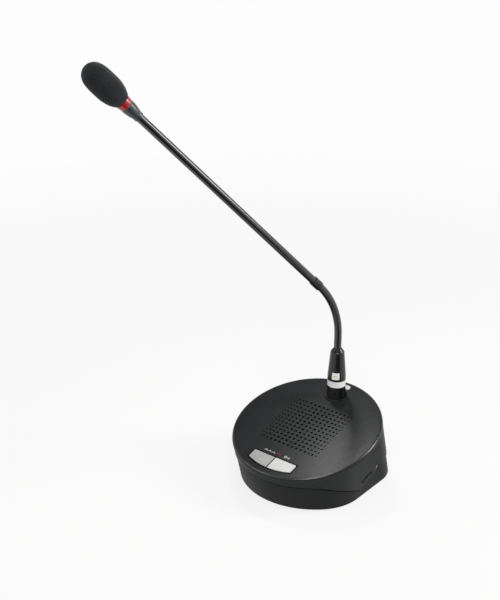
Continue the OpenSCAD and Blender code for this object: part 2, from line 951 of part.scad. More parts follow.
// Paper cone with a surround that lies on the frame, and a dust cap
module speaker_cone() {
    paper = 0.6;
    neck = 8;
    depth = basket_depth - 2;
    edge = cone_r + 1.6;
    color("#1b1b1d")
        on_top()
            translate([0, grille_v, speaker_w])
                rotate_extrude($fn = round_fn)
                    polygon([
                        [edge, 0], [edge, paper], [cone_r - 2, paper + 0.2], [cone_r - 4, 0],
                        [neck, -depth], [neck - 2.5, -depth + 2.2], [0, -depth + 3],
                        [0, -depth + 3 - paper], [neck - 3, -depth + 1.4], [neck - 0.2, -depth - paper],
                        [cone_r - 4, -paper - 0.1], [cone_r - 1.8, 0]
                    ]);
}

module speaker_magnet() {
    color("#5c5e62")
        on_top()
            translate([0, grille_v, speaker_w - basket_depth - frame_t - magnet_t]) {
                cylinder(r = magnet_r - 1.5, h = 2, $fn = round_fn);
                translate([0, 0, 2])
                    cylinder(r = magnet_r, h = magnet_t - 2, $fn = round_fn);
            }
}

module speaker_screws() {
    color("#8a8c8f")
        on_top()
            for (side = [-1, 1])
                for (end = [-1, 1])
                    translate([side * ear_u, grille_v + end * ear_v, speaker_w - frame_t])
                        screw(small_screw_r, frame_t + 2, small_head_r, small_head_h);
}

// Shell of the microphone socket: flange under the pad, collar up through the top, barrel below
module mic_socket() {
    color("#232426")
        difference() {
            union() {
                translate([-socket_w / 2, socket_front_y, seat_z - flange_t])
                    cube([socket_w, socket_rear_y - socket_front_y, flange_t]);
                translate([0, mic_y, seat_z - 0.1])
                    cylinder(r = socket_r, h = plug_z - seat_z + 0.1, $fn = round_fn);
                translate([0, mic_y, barrel_bottom])
                    cylinder(r = barrel_r, h = seat_z - barrel_bottom - 0.1, $fn = round_fn);
            }
            translate([0, mic_y, barrel_bottom + 1])
                cylinder(r = socket_bore_r, h = body_depth, $fn = round_fn);
            translate([0, mic_y, barrel_bottom - 1])
                cylinder(r = socket_bore_r - 1, h = body_depth, $fn = round_fn);
            translate([0, latch_y, seat_z - flange_t - 1])
                linear_extrude(flange_t + 2)
                    latch_plan(latch_gap);
            for (p = socket_screw_places)
                translate([p[0], mic_y + p[1], seat_z - flange_t - 1])
                    cylinder(r = screw_r + pin_gap, h = flange_t + 2, $fn = small_fn);
        }
}

module at_pins() {
    for (a = pin_angles)
        translate([pin_circle * cos(a), mic_y + pin_circle * sin(a), 0])
            children();
}

module socket_insert() {
    core_bottom = plug_z - sleeve_in - 1;
    color("#141416")
        difference() {
            union() {
                translate([0, mic_y, barrel_bottom + 1])
                    cylinder(r = socket_bore_r - pin_gap, h = core_bottom - barrel_bottom - 1, $fn = round_fn);
                translate([0, mic_y, core_bottom - 0.1])
                    cylinder(r = sleeve_r - 1.3, h = plug_z - 2 - core_bottom + 0.1, $fn = round_fn);
            }
            at_pins()
                translate([0, 0, barrel_bottom + 2.5])
                    cylinder(r = contact_r + pin_gap, h = body_depth, $fn = small_fn);
        }
}

module socket_contacts() {
    color("#c9a24a")
        at_pins()
            translate([0, 0, barrel_bottom + 2.5])
                difference() {
                    cylinder(r = contact_r, h = plug_z - 3 - barrel_bottom - 2.5, $fn = small_fn);
                    translate([0, 0, 2])
                        cylinder(r = pin_r + 0.05, h = body_depth, $fn = small_fn);
                }
}

module socket_screws() {
    color("#8a8c8f")
        for (p = socket_screw_places)
            translate([p[0], mic_y + p[1], seat_z - flange_t])
                screw(screw_r, flange_t + 2.5, screw_head_r - 0.6, 1.6);
}

// Push tab that lets the plug go: its head follows the slope, and its foot stays under the flange
module socket_latch() {
    foot_top = seat_z - flange_t - stop_gap;
    color("#c8c9c6")
        union() {
            intersection() {
                translate([0, latch_y, foot_top - 1])
                    linear_extrude(body_depth)
                        latch_plan(0);
                on_top()
                    translate([-big / 2, -big / 2, latch_proud - big])
                        cube([big, big, big]);
            }
            translate([0, latch_y, foot_top - latch_foot_t])
                linear_extrude(latch_foot_t)
                    stadium(latch_w + 2 * latch_foot, latch_d + 0.6 * latch_foot);
        }
}

module side_board() {
    color("#1f5a3a")
        on_top()
            difference() {
                translate([side_board_u[0], side_board_v[0], side_board_w - side_board_t])
                    cube([side_board_u[1] - side_board_u[0], side_board_v[1] - side_board_v[0], side_board_t]);
                for (p = side_posts)
                    translate([p[0], p[1], side_board_w - side_board_t - 1])
                        cylinder(r = small_screw_r + pin_gap, h = side_board_t + 2, $fn = small_fn);
            }
}

module side_board_screws() {
    color("#8a8c8f")
        on_top()
            for (p = side_posts)
                translate([p[0], p[1], side_board_w])
                    mirror([0, 0, 1])
                        screw(small_screw_r, side_board_t + 4, small_head_r, small_head_h);
}

module headphone_jack() {
    front = side_x - wall - slide_gap;
    color("#18181a")
        on_top()
            translate([0, jack_v, jack_w])
                difference() {
                    translate([front - jack_size[0], -jack_size[1] / 2, side_board_w - jack_w])
                        cube(jack_size);
                    translate([front - 3.2, 0, 0])
                        rotate([0, 90, 0])
                            cylinder(r = jack_ring_r - 0.6 + pin_gap, h = 5, $fn = small_fn);
                    translate([front - jack_size[0] + 1, 0, 0])
                        rotate([0, 90, 0])
                            cylinder(r = jack_bore_r, h = jack_size[0], $fn = small_fn);
                }
}

// Plated ring round the headphone socket's mouth
module jack_ring() {
    front = side_x - wall - slide_gap;
    color("#d5d6d4")
        on_top()
            translate([0, jack_v, jack_w])
                rotate([0, 90, 0])
                    difference() {
                        union() {
                            translate([0, 0, front - 3.2])
                                cylinder(r = jack_ring_r - 0.6, h = 3.3, $fn = small_fn);
                            translate([0, 0, front])
                                cylinder(r = jack_ring_r, h = jack_face - front, $fn = small_fn);
                        }
                        translate([0, 0, front - 4])
                            cylinder(r = jack_bore_r, h = 10, $fn = small_fn);
                    }
}

// Notched thumbwheel on its shaft
module volume_wheel() {
    color("#232325")
        on_top()
            translate([wheel_u, wheel_v, wheel_w])
                difference() {
                    union() {
                        translate([0, 0, -wheel_t / 2])
                            cylinder(r = wheel_r, h = wheel_t, $fn = round_fn);
                        translate([0, 0, side_board_w + 0.6 - wheel_w])
                            cylinder(r = shaft_r, h = wheel_w - side_board_w - 0.6, $fn = small_fn);
                        translate([0, 0, side_board_w + pot_h + pin_gap - wheel_w])
                            cylinder(r = 3, h = wheel_w - side_board_w - pot_h - pin_gap, $fn = small_fn);
                    }
                    for (k = [0 : wheel_notches - 1])
                        rotate([0, 0, 360 * k / wheel_notches])
                            translate([wheel_r + 0.15, 0, -wheel_t])
                                cylinder(r = 0.5, h = 2 * wheel_t, $fn = 16);
                }
}

module volume_pot() {
    color("#3c5a78")
        on_top()
            translate([wheel_u, wheel_v, side_board_w])
                difference() {
                    translate([-pot_w / 2, -pot_w / 2, 0])
                        cube([pot_w, pot_w, pot_h]);
                    translate([0, 0, 0.3])
                        cylinder(r = shaft_r + pin_gap, h = pot_h, $fn = small_fn);
                }
}

// Shell of the microphone's plug: a straight skirt, a taper and a chamfered shoulder
module plug_shell() {
    taper_z = plug_straight + plug_taper;
    top = taper_z + plug_shoulder;
    mouth = flex_r + 0.5;
    bore = flex_r + pin_gap;
    color("#2a2b2e")
        translate([0, mic_y, plug_z])
            rotate_extrude($fn = round_fn)
                polygon([
                    [sleeve_r + pin_gap, 0], [plug_r - 0.3, 0], [plug_r, 0.3], [plug_r, plug_straight],
                    [plug_neck_r, taper_z], [mouth, top], [bore, top], [bore, taper_z - 2],
                    [anchor_flange_r + pin_gap, taper_z - 2], [anchor_flange_r + pin_gap, sleeve_up],
                    [sleeve_r + pin_gap, sleeve_up]
                ]);
}

module plug_sleeve() {
    lip = anchor_flange_r + 0.4;
    color("#9a9c9f")
        translate([0, mic_y, plug_z])
            rotate_extrude($fn = round_fn)
                polygon([
                    [sleeve_r - 1, -sleeve_in], [sleeve_r, -sleeve_in], [sleeve_r, sleeve_up],
                    [lip, sleeve_up], [lip, sleeve_up - 1], [sleeve_r - 1, sleeve_up - 1]
                ]);
}

module plug_insert() {
    color("#141416")
        difference() {
            translate([0, mic_y, plug_z + 0.3])
                cylinder(r = sleeve_r - 1 - pin_gap, h = 8, $fn = round_fn);
            at_pins()
                translate([0, 0, plug_z - 1])
                    cylinder(r = pin_r + 0.05, h = 8, $fn = small_fn);
        }
}

module plug_pins() {
    tip = plug_z - sleeve_in + 1.5;
    color("#c9a24a")
        at_pins()
            translate([0, 0, tip])
                cylinder(r = pin_r, h = plug_z + 7 - tip, $fn = small_fn);
}

// A ball at height z on a thin neck, on top of a link
module ball_end(z) {
    translate([0, 0, z - link_shoulder - 0.1])
        cylinder(r = ball_neck_r, h = link_shoulder, $fn = small_fn);
    translate([0, 0, z])
        sphere(r = ball_r, $fn = small_fn);
}

// Stud that holds the neck's core in the plug
module neck_anchor() {
    base = neck_z - plug_shoulder - 2 - anchor_flange_t;
    color("#8d8f92")
        at_neck() {
            translate([0, 0, base])
                cylinder(r = anchor_flange_r, h = anchor_flange_t, $fn = small_fn);
            translate([0, 0, base + 1])
                cylinder(r = link_r, h = joint_at(0)[1] - link_shoulder - base - 1, $fn = small_fn);
            ball_end(joint_at(0)[1]);
        }
}

// Link i of the core: a socket over the ball below it and a ball at its own upper end
module neck_link(i) {
    a = joint_at(i - 1);
    b = joint_at(i);
    length = norm(b - a);
    color("#8d8f92")
        at_neck()
            translate([a[0], 0, a[1]])
                rotate([0, atan2(b[0] - a[0], b[1] - a[1]), 0])
                    difference() {
                        union() {
                            translate([0, 0, -link_mouth])
                                cylinder(r = link_r, h = length - link_shoulder + link_mouth, $fn = small_fn);
                            ball_end(length);
                        }
                        sphere(r = ball_socket_r, $fn = small_fn);
                    }
}

// Last socket of the core, with a plug that sits in the stem
module neck_end() {
    a = joint_at(joints - 1);
    b = neck_at(neck_len + collar_web + 1);
    color("#8d8f92") {
        at_neck()
            translate([a[0], 0, a[1]])
                rotate([0, atan2(b[0] - a[0], b[1] - a[1]), 0])
                    difference() {
                        translate([0, 0, -link_mouth])
                            cylinder(r = link_r - 0.05, h = norm(b - a) + link_mouth, $fn = small_fn);
                        sphere(r = ball_socket_r, $fn = small_fn);
                    }
        along_neck(neck_len + collar_web + 0.4)
            cylinder(r = stem_r - stem_wall - 0.05, h = collar_len - collar_web, $fn = small_fn);
    }
}

// A rod along the neck: straight, bent, and straight again, with the straight ends lapped into the bend
module neck_rod(r, grow) {
    lap = 1;
    end_r = r - 0.02;
    at_neck() {
        translate([0, 0, neck_z - flex_in - grow])
            cylinder(r = end_r, h = flex_in + grow + neck_straight + lap, $fn = small_fn);
        translate([neck_bend_r, 0, neck_z + neck_straight])
            rotate([90, 0, 0])
                rotate([0, 0, 180 - neck_bend])
                    rotate_extrude(angle = neck_bend, $fn = round_fn)
                        translate([neck_bend_r, 0])
                            circle(r = r, $fn = small_fn);
        translate([neck_at(neck_len)[0], 0, neck_at(neck_len)[1]])
            rotate([0, neck_bend, 0])
                translate([0, 0, -lap])
                    cylinder(r = end_r, h = lap + flex_up + grow, $fn = small_fn);
    }
}

// Smooth flexible sleeve over the core
module gooseneck_sleeve() {
    color("#2c2d30")
        difference() {
            neck_rod(flex_r, 0);
            neck_rod(flex_bore_r, 1);
        }
}

module stem_collar() {
    groove_r = collar_r - 0.3;
    color("#2a2b2e")
        along_neck(neck_len)
            rotate_extrude($fn = round_fn)
                polygon([
                    [flex_r + pin_gap, 0], [collar_r - 0.3, 0], [collar_r, 0.3],
                    [collar_r, collar_web], [groove_r, collar_web], [groove_r, collar_web + 0.8],
                    [collar_r, collar_web + 0.8], [collar_r, collar_len - 0.3], [collar_r - 0.3, collar_len],
                    [stem_r + 0.05, collar_len], [stem_r + 0.05, collar_web], [flex_bore_r, collar_web],
                    [flex_bore_r, flex_up + turn_gap], [flex_r + pin_gap, flex_up + turn_gap]
                ]);
}

module stem_tube() {
    color("#2a2b2e")
        along_neck(neck_len)
            translate([0, 0, collar_web])
                difference() {
                    cylinder(r = stem_r, h = collar_len - collar_web + stem_len + stem_in, $fn = round_fn);
                    translate([0, 0, -1])
                        cylinder(r = stem_r - stem_wall, h = big, $fn = round_fn);
                }
}

// Flared neck between the stem and the light ring, with a short lip round the stem
module head_flare() {
    steps = 8;
    span = flare_len - lip_len;
    web = stem_in + 1.2;
    color("#3a3b3e")
        at_head()
            rotate_extrude($fn = round_fn)
                polygon(concat(
                    [[stem_r + 0.05, 0], [lip_r - 0.3, 0], [lip_r, 0.3]],
                    [
                        for (k = [0 : steps])
                            let (t = k / steps)
                                [lip_r + (flare_r - lip_r) * t * (2 - t), lip_len + span * t]
                    ],
                    [
                        [spigot_r + pin_gap, flare_len], [spigot_r + pin_gap, web], [wire_r, web],
                        [wire_r, stem_in], [stem_r + 0.05, stem_in]
                    ]
                ));
}

module led_ring() {
    color("#b01e22")
        at_head()
            translate([0, 0, flare_len])
                rotate_extrude($fn = round_fn)
                    polygon([
                        [spigot_r + pin_gap, 0], [flare_r, 0],
                        [ring_r, ring_len], [spigot_r + pin_gap, ring_len]
                    ]);
}

// Barrel inside the windscreen, with a spigot down through the light ring
module capsule_housing() {
    base = flare_len + ring_len;
    ledge = base + barrel_len - capsule_len - 2;
    color("#6e7074")
        at_head()
            rotate_extrude($fn = round_fn)
                polygon([
                    [wire_r, stem_in + 1.2], [spigot_r, stem_in + 1.2], [spigot_r, base],
                    [barrel_out_r, base], [barrel_out_r, base + barrel_len],
                    [capsule_r + pin_gap, base + barrel_len], [capsule_r + pin_gap, ledge],
                    [capsule_r - 1, ledge], [capsule_r - 1, base + 6], [wire_r, base + 6]
                ]);
}

module mic_capsule() {
    color("#b9bbbd")
        at_head()
            translate([0, 0, flare_len + ring_len + barrel_len - capsule_len - 2])
                cylinder(r = capsule_r, h = capsule_len, $fn = round_fn);
}

// Foam windscreen with its bore over the barrel
module windscreen() {
    steps = 28;
    depth = barrel_len + turn_gap;
    color("#1d1e20")
        at_head()
            translate([0, 0, flare_len + ring_len + 0.05])
                rotate_extrude($fn = 64)
                    polygon(concat(
                        [[0, depth], [foam_bore_r, depth], [foam_bore_r, 0]],
                        [
                            for (k = [0 : steps])
                                let (s = foam_len * sin(90 * k / steps))
                                    [max(0, foam_at(s)), s]
                        ]
                    ));
}

upper_case();
lower_case();
rubber_feet();
case_screws();
ballast_plate();
ballast_screws();
main_board();
board_screws();
bus_sockets();
bus_inserts();
key_board();
key_board_screws();
switch_bodies();
priority_plunger();
talk_plunger();
priority_button();
talk_button();
led_lens();
grille_cloth();
speaker_gasket();
speaker_frame();
speaker_cone();
speaker_magnet();
speaker_screws();
mic_socket();
socket_insert();
socket_contacts();
socket_screws();
socket_latch();
side_board();
side_board_screws();
headphone_jack();
jack_ring();
volume_wheel();
volume_pot();
plug_shell();
plug_sleeve();
plug_insert();
plug_pins();
neck_anchor();
neck_link(1);  // neck_link_1
neck_link(2);  // neck_link_2
neck_link(3);  // neck_link_3
neck_link(4);  // neck_link_4
neck_link(5);  // neck_link_5
neck_link(6);  // neck_link_6
neck_link(7);  // neck_link_7
neck_end();
gooseneck_sleeve();
stem_collar();
stem_tube();
head_flare();
led_ring();
capsule_housing();
mic_capsule();
windscreen();
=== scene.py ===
# Looks of a conference chairman unit with a gooseneck microphone, built round its solids.
import json
import math

import bmesh
import bpy
from mathutils import Matrix, Vector, noise


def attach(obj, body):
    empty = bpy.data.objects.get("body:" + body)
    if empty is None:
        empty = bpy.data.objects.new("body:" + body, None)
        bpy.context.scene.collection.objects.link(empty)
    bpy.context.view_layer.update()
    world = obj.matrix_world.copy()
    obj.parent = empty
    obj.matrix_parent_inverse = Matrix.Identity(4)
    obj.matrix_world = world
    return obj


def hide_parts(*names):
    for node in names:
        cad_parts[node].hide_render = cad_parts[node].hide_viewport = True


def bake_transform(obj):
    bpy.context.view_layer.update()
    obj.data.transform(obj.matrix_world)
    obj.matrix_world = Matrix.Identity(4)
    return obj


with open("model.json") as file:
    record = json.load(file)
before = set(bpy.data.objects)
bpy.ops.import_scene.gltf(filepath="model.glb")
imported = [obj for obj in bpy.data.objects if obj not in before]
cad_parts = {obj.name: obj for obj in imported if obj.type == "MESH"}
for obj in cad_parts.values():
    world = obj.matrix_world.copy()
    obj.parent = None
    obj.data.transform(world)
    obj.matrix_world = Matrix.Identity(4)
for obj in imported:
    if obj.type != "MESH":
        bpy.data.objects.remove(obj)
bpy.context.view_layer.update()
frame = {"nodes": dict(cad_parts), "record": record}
mm = 0.001
print("frame loaded:", len(frame["nodes"]), "nodes")


def turned(degrees, axis):
    return Matrix.Rotation(math.radians(degrees), 4, axis)


# Axes of the sloping top and of the neck's plane, as in the solids; mm and degrees
base = {"topZ": 59.0, "tilt": 15.0}
topFrame = Matrix.Translation((0, 0, base["topZ"] * mm)) @ turned(base["tilt"], "X")

neck = {
    "plugY": 51.3,
    "startZ": 127.4,
    "heading": -115.0,
    "straight": 14.9,
    "bendR": 82.0,
    "bend": 44.0,
    "flexR": 3.85,
    "flexBoreR": 3.32,
    "flexIn": 5.4,
    "flexUp": 3.6,
    "firstJoint": 8.3,
    "pitch": 9.0,
    "links": 7,
    "collarLen": 11.0,
    "stemLen": 251.6,
}
neckArc = neck["bendR"] * math.radians(neck["bend"])
neckLen = neck["straight"] + neckArc
neckFrame = Matrix.Translation((0, neck["plugY"] * mm, 0)) @ turned(neck["heading"], "Z")


# Frame on the neck's centre line, s mm from its start
def alongNeck(s):
    turn = math.radians(neck["bend"]) * min(1, max(0, (s - neck["straight"]) / neckArc))
    past = max(0, s - neckLen)
    ahead = neck["bendR"] * (1 - math.cos(turn)) + past * math.sin(turn)
    up = neck["startZ"] + min(s, neck["straight"]) + neck["bendR"] * math.sin(turn)
    up += past * math.cos(turn)
    return neckFrame @ Matrix.Translation((ahead * mm, 0, up * mm)) @ Matrix.Rotation(turn, 4, "Y")


headFrame = alongNeck(neckLen + neck["collarLen"] + neck["stemLen"])

# Camera at the photo's viewing angle, with the optical axis through the middle of the picture
view = {
    "azimuth": 38.96,
    "elevation": 22.74,
    "place": (581.1, -809.9, 614.3),  # mm
    "focalPx": 1116.4,
    "widthPx": 500,
    "sensor": 36.0,
    "farthest": 50.0,  # m
}


def addCamera():
    az = math.radians(view["azimuth"])
    el = math.radians(view["elevation"])
    back = Vector((math.sin(az) * math.cos(el), -math.cos(az) * math.cos(el), math.sin(el)))
    right = Vector((math.cos(az), math.sin(az), 0))
    up = back.cross(right)
    data = bpy.data.cameras.new("camera")
    data.sensor_fit = "HORIZONTAL"
    data.sensor_width = view["sensor"]
    data.lens = view["focalPx"] * data.sensor_width / view["widthPx"]
    data.clip_end = view["farthest"]
    camera = bpy.data.objects.new("camera", data)
    turn = Matrix((right, up, back)).transposed().to_4x4()
    camera.matrix_world = Matrix.Translation(Vector(view["place"]) * mm) @ turn
    bpy.context.scene.collection.objects.link(camera)
    bpy.context.scene.camera = camera


addCamera()


def linear(hexText):
    parts = [int(hexText[i : i + 2], 16) / 255 for i in (1, 3, 5)]
    curve = [c / 12.92 if c <= 0.04045 else ((c + 0.055) / 1.055) ** 2.4 for c in parts]
    return tuple(curve) + (1.0,)


# Adds a node with its settings, its links or values, and a colour ramp's stops
def addNode(tree, kind, inputs=None, stops=(), **settings):
    node = tree.nodes.new(kind)
    for name, value in settings.items():
        setattr(node, name, value)
    for name, value in (inputs or {}).items():
        if isinstance(value, bpy.types.NodeSocket):
            tree.links.new(value, node.inputs[name])
        else:
            node.inputs[name].default_value = value
    for i, (place, colour) in enumerate(stops):
        node.color_ramp.elements[i].position = place
        node.color_ramp.elements[i].color = linear(colour)
    return node


def newMaterial(name):
    material = bpy.data.materials.new(name)
    material.use_nodes = True
    tree = material.node_tree
    tree.nodes.clear()
    coords = addNode(tree, "ShaderNodeTexCoord").outputs["Object"]
    return material, tree, coords


def closeMaterial(material, shader):
    addNode(material.node_tree, "ShaderNodeOutputMaterial", {"Surface": shader.outputs[0]})
    return material


# Scale of a pattern whose grain has this size in mm
def perMm(size):
    return 1 / (size * mm)


# Worn line just inside the top's edge, glossier than the rest; mm in from the edge and up
# from the top
rimLine = {"edgeR": 77.0, "inner": 2.3, "outer": 1.9, "low": -1.1, "high": -0.7, "shine": 0.9}


def wornRim(tree, coords, shine):
    shift = -(topFrame.to_3x3().inverted() @ topFrame.translation)
    lean = (-math.radians(base["tilt"]), 0, 0)
    mapped = addNode(
        tree, "ShaderNodeMapping", {"Vector": coords, "Location": shift, "Rotation": lean}
    )
    spot = mapped.outputs["Vector"]
    height = addNode(tree, "ShaderNodeSeparateXYZ", {0: spot}).outputs["Z"]
    flat = addNode(tree, "ShaderNodeVectorMath", {0: spot, 1: (1, 1, 0)}, operation="MULTIPLY")
    away = addNode(tree, "ShaderNodeVectorMath", {0: flat.outputs["Vector"]}, operation="LENGTH")
    rim = addNode(
        tree,
        "ShaderNodeMapRange",
        {
            "Value": away.outputs["Value"],
            "From Min": (rimLine["edgeR"] - rimLine["inner"]) * mm,
            "From Max": (rimLine["edgeR"] - rimLine["outer"]) * mm,
        },
    ).outputs["Result"]
    upper = addNode(
        tree,
        "ShaderNodeMapRange",
        {"Value": height, "From Min": rimLine["low"] * mm, "From Max": rimLine["high"] * mm},
    ).outputs["Result"]
    worn = addNode(tree, "ShaderNodeMath", {0: rim, 1: upper}, operation="MULTIPLY").outputs[0]
    level = addNode(
        tree, "ShaderNodeMapRange", {"Value": worn, "To Min": shine, "To Max": rimLine["shine"]}
    )
    return level.outputs["Result"]


# Moulded ABS with a spark-eroded skin: satin, with a slow drift of gloss and a fine grain.
# The real grain is about 0.1 mm and is drawn at 0.5 mm, so that it shows at all.
def mouldedAbs(
    name, dark, light, rough, shine=0.5, rim=False, driftMm=28.0, grainMm=0.5, depthMm=0.06
):
    material, tree, coords = newMaterial(name)
    drift = addNode(
        tree, "ShaderNodeTexNoise", {"Vector": coords, "Scale": perMm(driftMm), "Detail": 3.0}
    ).outputs["Fac"]
    speck = addNode(
        tree, "ShaderNodeTexNoise", {"Vector": coords, "Scale": perMm(grainMm), "Detail": 4.0}
    ).outputs["Fac"]
    both = addNode(tree, "ShaderNodeMath", {0: drift, 1: speck}, operation="MULTIPLY").outputs[0]
    tint = addNode(tree, "ShaderNodeValToRGB", {"Fac": both}, stops=((0.12, dark), (0.42, light)))
    gloss = addNode(
        tree,
        "ShaderNodeMapRange",
        {"Value": drift, "From Min": 0.3, "From Max": 0.7, "To Min": rough[0], "To Max": rough[1]},
    )
    bump = addNode(
        tree, "ShaderNodeBump", {"Height": speck, "Strength": 0.12, "Distance": depthMm * mm}
    )
    shader = addNode(
        tree,
        "ShaderNodeBsdfPrincipled",
        {
            "Base Color": tint.outputs["Color"],
            "Roughness": gloss.outputs["Result"],
            "Normal": bump.outputs["Normal"],
            "IOR": 1.54,
            "Specular IOR Level": wornRim(tree, coords, shine) if rim else shine,
        },
    )
    return closeMaterial(material, shader)


# Key plastic with a light cap over near-black sides. The near-black below a line a little under the
# top's own plane is painted shade, so that the gap round the key stays dark. The grain is drawn
# coarse, as on the case.
def keyWithPaintedGapShade(name, dark, light, gapShade, capMm=0.25, driftMm=9.0, grainMm=0.5, depthMm=0.06):
    material, tree, coords = newMaterial(name)
    up = topFrame.to_3x3() @ Vector((0, 0, 1))
    line = up.dot(topFrame.translation) - capMm * mm
    height = addNode(
        tree, "ShaderNodeVectorMath", {0: coords, 1: up}, operation="DOT_PRODUCT"
    ).outputs["Value"]
    isCap = addNode(tree, "ShaderNodeMath", {0: height, 1: line}, operation="GREATER_THAN").outputs[0]
    drift = addNode(
        tree, "ShaderNodeTexNoise", {"Vector": coords, "Scale": perMm(driftMm), "Detail": 3.0}
    ).outputs["Fac"]
    tint = addNode(tree, "ShaderNodeValToRGB", {"Fac": drift}, stops=((0.3, dark), (0.7, light)))
    # Above the line the cap's own tint, below it the painted gap shade
    capOverGapShade = addNode(
        tree,
        "ShaderNodeMix",
        {"Factor": isCap, "A": linear(gapShade), "B": tint.outputs["Color"]},
        data_type="RGBA",
    )
    grain = addNode(
        tree, "ShaderNodeTexNoise", {"Vector": coords, "Scale": perMm(grainMm), "Detail": 4.0}
    ).outputs["Fac"]
    bump = addNode(
        tree, "ShaderNodeBump", {"Height": grain, "Strength": 0.05, "Distance": depthMm * mm}
    )
    shader = addNode(
        tree,
        "ShaderNodeBsdfPrincipled",
        {
            "Base Color": capOverGapShade.outputs["Result"],
            "Roughness": 0.36,
            "Normal": bump.outputs["Normal"],
            "IOR": 1.54,
            "Specular IOR Level": 0.3,
        },
    )
    return closeMaterial(material, shader)


# Enamelled or coated metal: a smooth dark film with a slight orange-peel ripple
def coatedMetal(
    name, dark, light, rough, coat=0.3, ripple=0.05, shine=0.5, rippleMm=2.5, smearMm=12.0, depthMm=0.1
):
    material, tree, coords = newMaterial(name)
    peel = addNode(
        tree, "ShaderNodeTexNoise", {"Vector": coords, "Scale": perMm(rippleMm), "Detail": 2.0}
    ).outputs["Fac"]
    smear = addNode(
        tree,
        "ShaderNodeTexNoise",
        {"Vector": coords, "Scale": perMm(smearMm), "Detail": 5.0, "Roughness": 0.65},
    ).outputs["Fac"]
    tint = addNode(tree, "ShaderNodeValToRGB", {"Fac": smear}, stops=((0.35, dark), (0.65, light)))
    gloss = addNode(
        tree,
        "ShaderNodeMapRange",
        {
            "Value": smear,
            "From Min": 0.3,
            "From Max": 0.7,
            "To Min": rough * 0.85,
            "To Max": rough * 1.15,
        },
    )
    bump = addNode(
        tree, "ShaderNodeBump", {"Height": peel, "Strength": ripple, "Distance": depthMm * mm}
    )
    shader = addNode(
        tree,
        "ShaderNodeBsdfPrincipled",
        {
            "Base Color": tint.outputs["Color"],
            "Roughness": gloss.outputs["Result"],
            "Normal": bump.outputs["Normal"],
            "IOR": 1.5,
            "Specular IOR Level": shine,
            "Coat Weight": coat,
            "Coat Roughness": 0.12,
        },
    )
    return closeMaterial(material, shader)


# Bare or plated metal: fine scratches, drawn out along the height, over a soft mirror
def plainMetal(name, dark, light, rough, scratchMm=0.4, stretch=0.15, depthMm=0.05):
    material, tree, coords = newMaterial(name)
    drawn = addNode(tree, "ShaderNodeMapping", {"Vector": coords, "Scale": (1.0, 1.0, stretch)})
    lines = addNode(
        tree,
        "ShaderNodeTexNoise",
        {
            "Vector": drawn.outputs["Vector"],
            "Scale": perMm(scratchMm),
            "Detail": 6.0,
            "Roughness": 0.7,
        },
    ).outputs["Fac"]
    tint = addNode(tree, "ShaderNodeValToRGB", {"Fac": lines}, stops=((0.3, dark), (0.7, light)))
    gloss = addNode(
        tree,
        "ShaderNodeMapRange",
        {
            "Value": lines,
            "From Min": 0.3,
            "From Max": 0.7,
            "To Min": rough * 0.8,
            "To Max": rough * 1.25,
        },
    )
    bump = addNode(
        tree, "ShaderNodeBump", {"Height": lines, "Strength": 0.05, "Distance": depthMm * mm}
    )
    shader = addNode(
        tree,
        "ShaderNodeBsdfPrincipled",
        {
            "Base Color": tint.outputs["Color"],
            "Roughness": gloss.outputs["Result"],
            "Normal": bump.outputs["Normal"],
            "Metallic": 1.0,
        },
    )
    return closeMaterial(material, shader)


# Silicone or neoprene rubber: matt, or smooth where it is new, with a dusty bloom on its high spots
def softRubber(name, dark, bloom, rough, grainMm=0.8, shine=0.5, depthMm=0.08):
    material, tree, coords = newMaterial(name)
    dust = addNode(
        tree,
        "ShaderNodeTexNoise",
        {"Vector": coords, "Scale": perMm(grainMm), "Detail": 5.0, "Roughness": 0.6},
    ).outputs["Fac"]
    tint = addNode(tree, "ShaderNodeValToRGB", {"Fac": dust}, stops=((0.35, dark), (0.75, bloom)))
    bump = addNode(
        tree, "ShaderNodeBump", {"Height": dust, "Strength": 0.06, "Distance": depthMm * mm}
    )
    shader = addNode(
        tree,
        "ShaderNodeBsdfPrincipled",
        {
            "Base Color": tint.outputs["Color"],
            "Roughness": rough,
            "Normal": bump.outputs["Normal"],
            "IOR": 1.5,
            "Specular IOR Level": shine,
            "Sheen Weight": 0.05,
        },
    )
    return closeMaterial(material, shader)


# Open-cell polyurethane foam: dark ribs round pores of about 0.7 mm, with no gloss
def openFoam(name, pit, rib, poreMm=0.75, fuzzMm=0.5, depthMm=0.25):
    material, tree, coords = newMaterial(name)
    pores = addNode(
        tree,
        "ShaderNodeTexVoronoi",
        {"Vector": coords, "Scale": perMm(poreMm), "Randomness": 1.0},
        feature="F1",
    ).outputs["Distance"]
    fuzz = addNode(
        tree, "ShaderNodeTexNoise", {"Vector": coords, "Scale": perMm(fuzzMm), "Detail": 4.0}
    ).outputs["Fac"]
    height = addNode(tree, "ShaderNodeMath", {0: pores, 1: fuzz}, operation="MULTIPLY").outputs[0]
    tint = addNode(tree, "ShaderNodeValToRGB", {"Fac": height}, stops=((0.08, pit), (0.42, rib)))
    bump = addNode(
        tree, "ShaderNodeBump", {"Height": height, "Strength": 0.6, "Distance": depthMm * mm}
    )
    shader = addNode(
        tree,
        "ShaderNodeBsdfPrincipled",
        {
            "Base Color": tint.outputs["Color"],
            "Roughness": 0.95,
            "Normal": bump.outputs["Normal"],
            "IOR": 1.3,
            "Sheen Weight": 0.12,
            "Sheen Roughness": 0.6,
        },
    )
    return closeMaterial(material, shader)


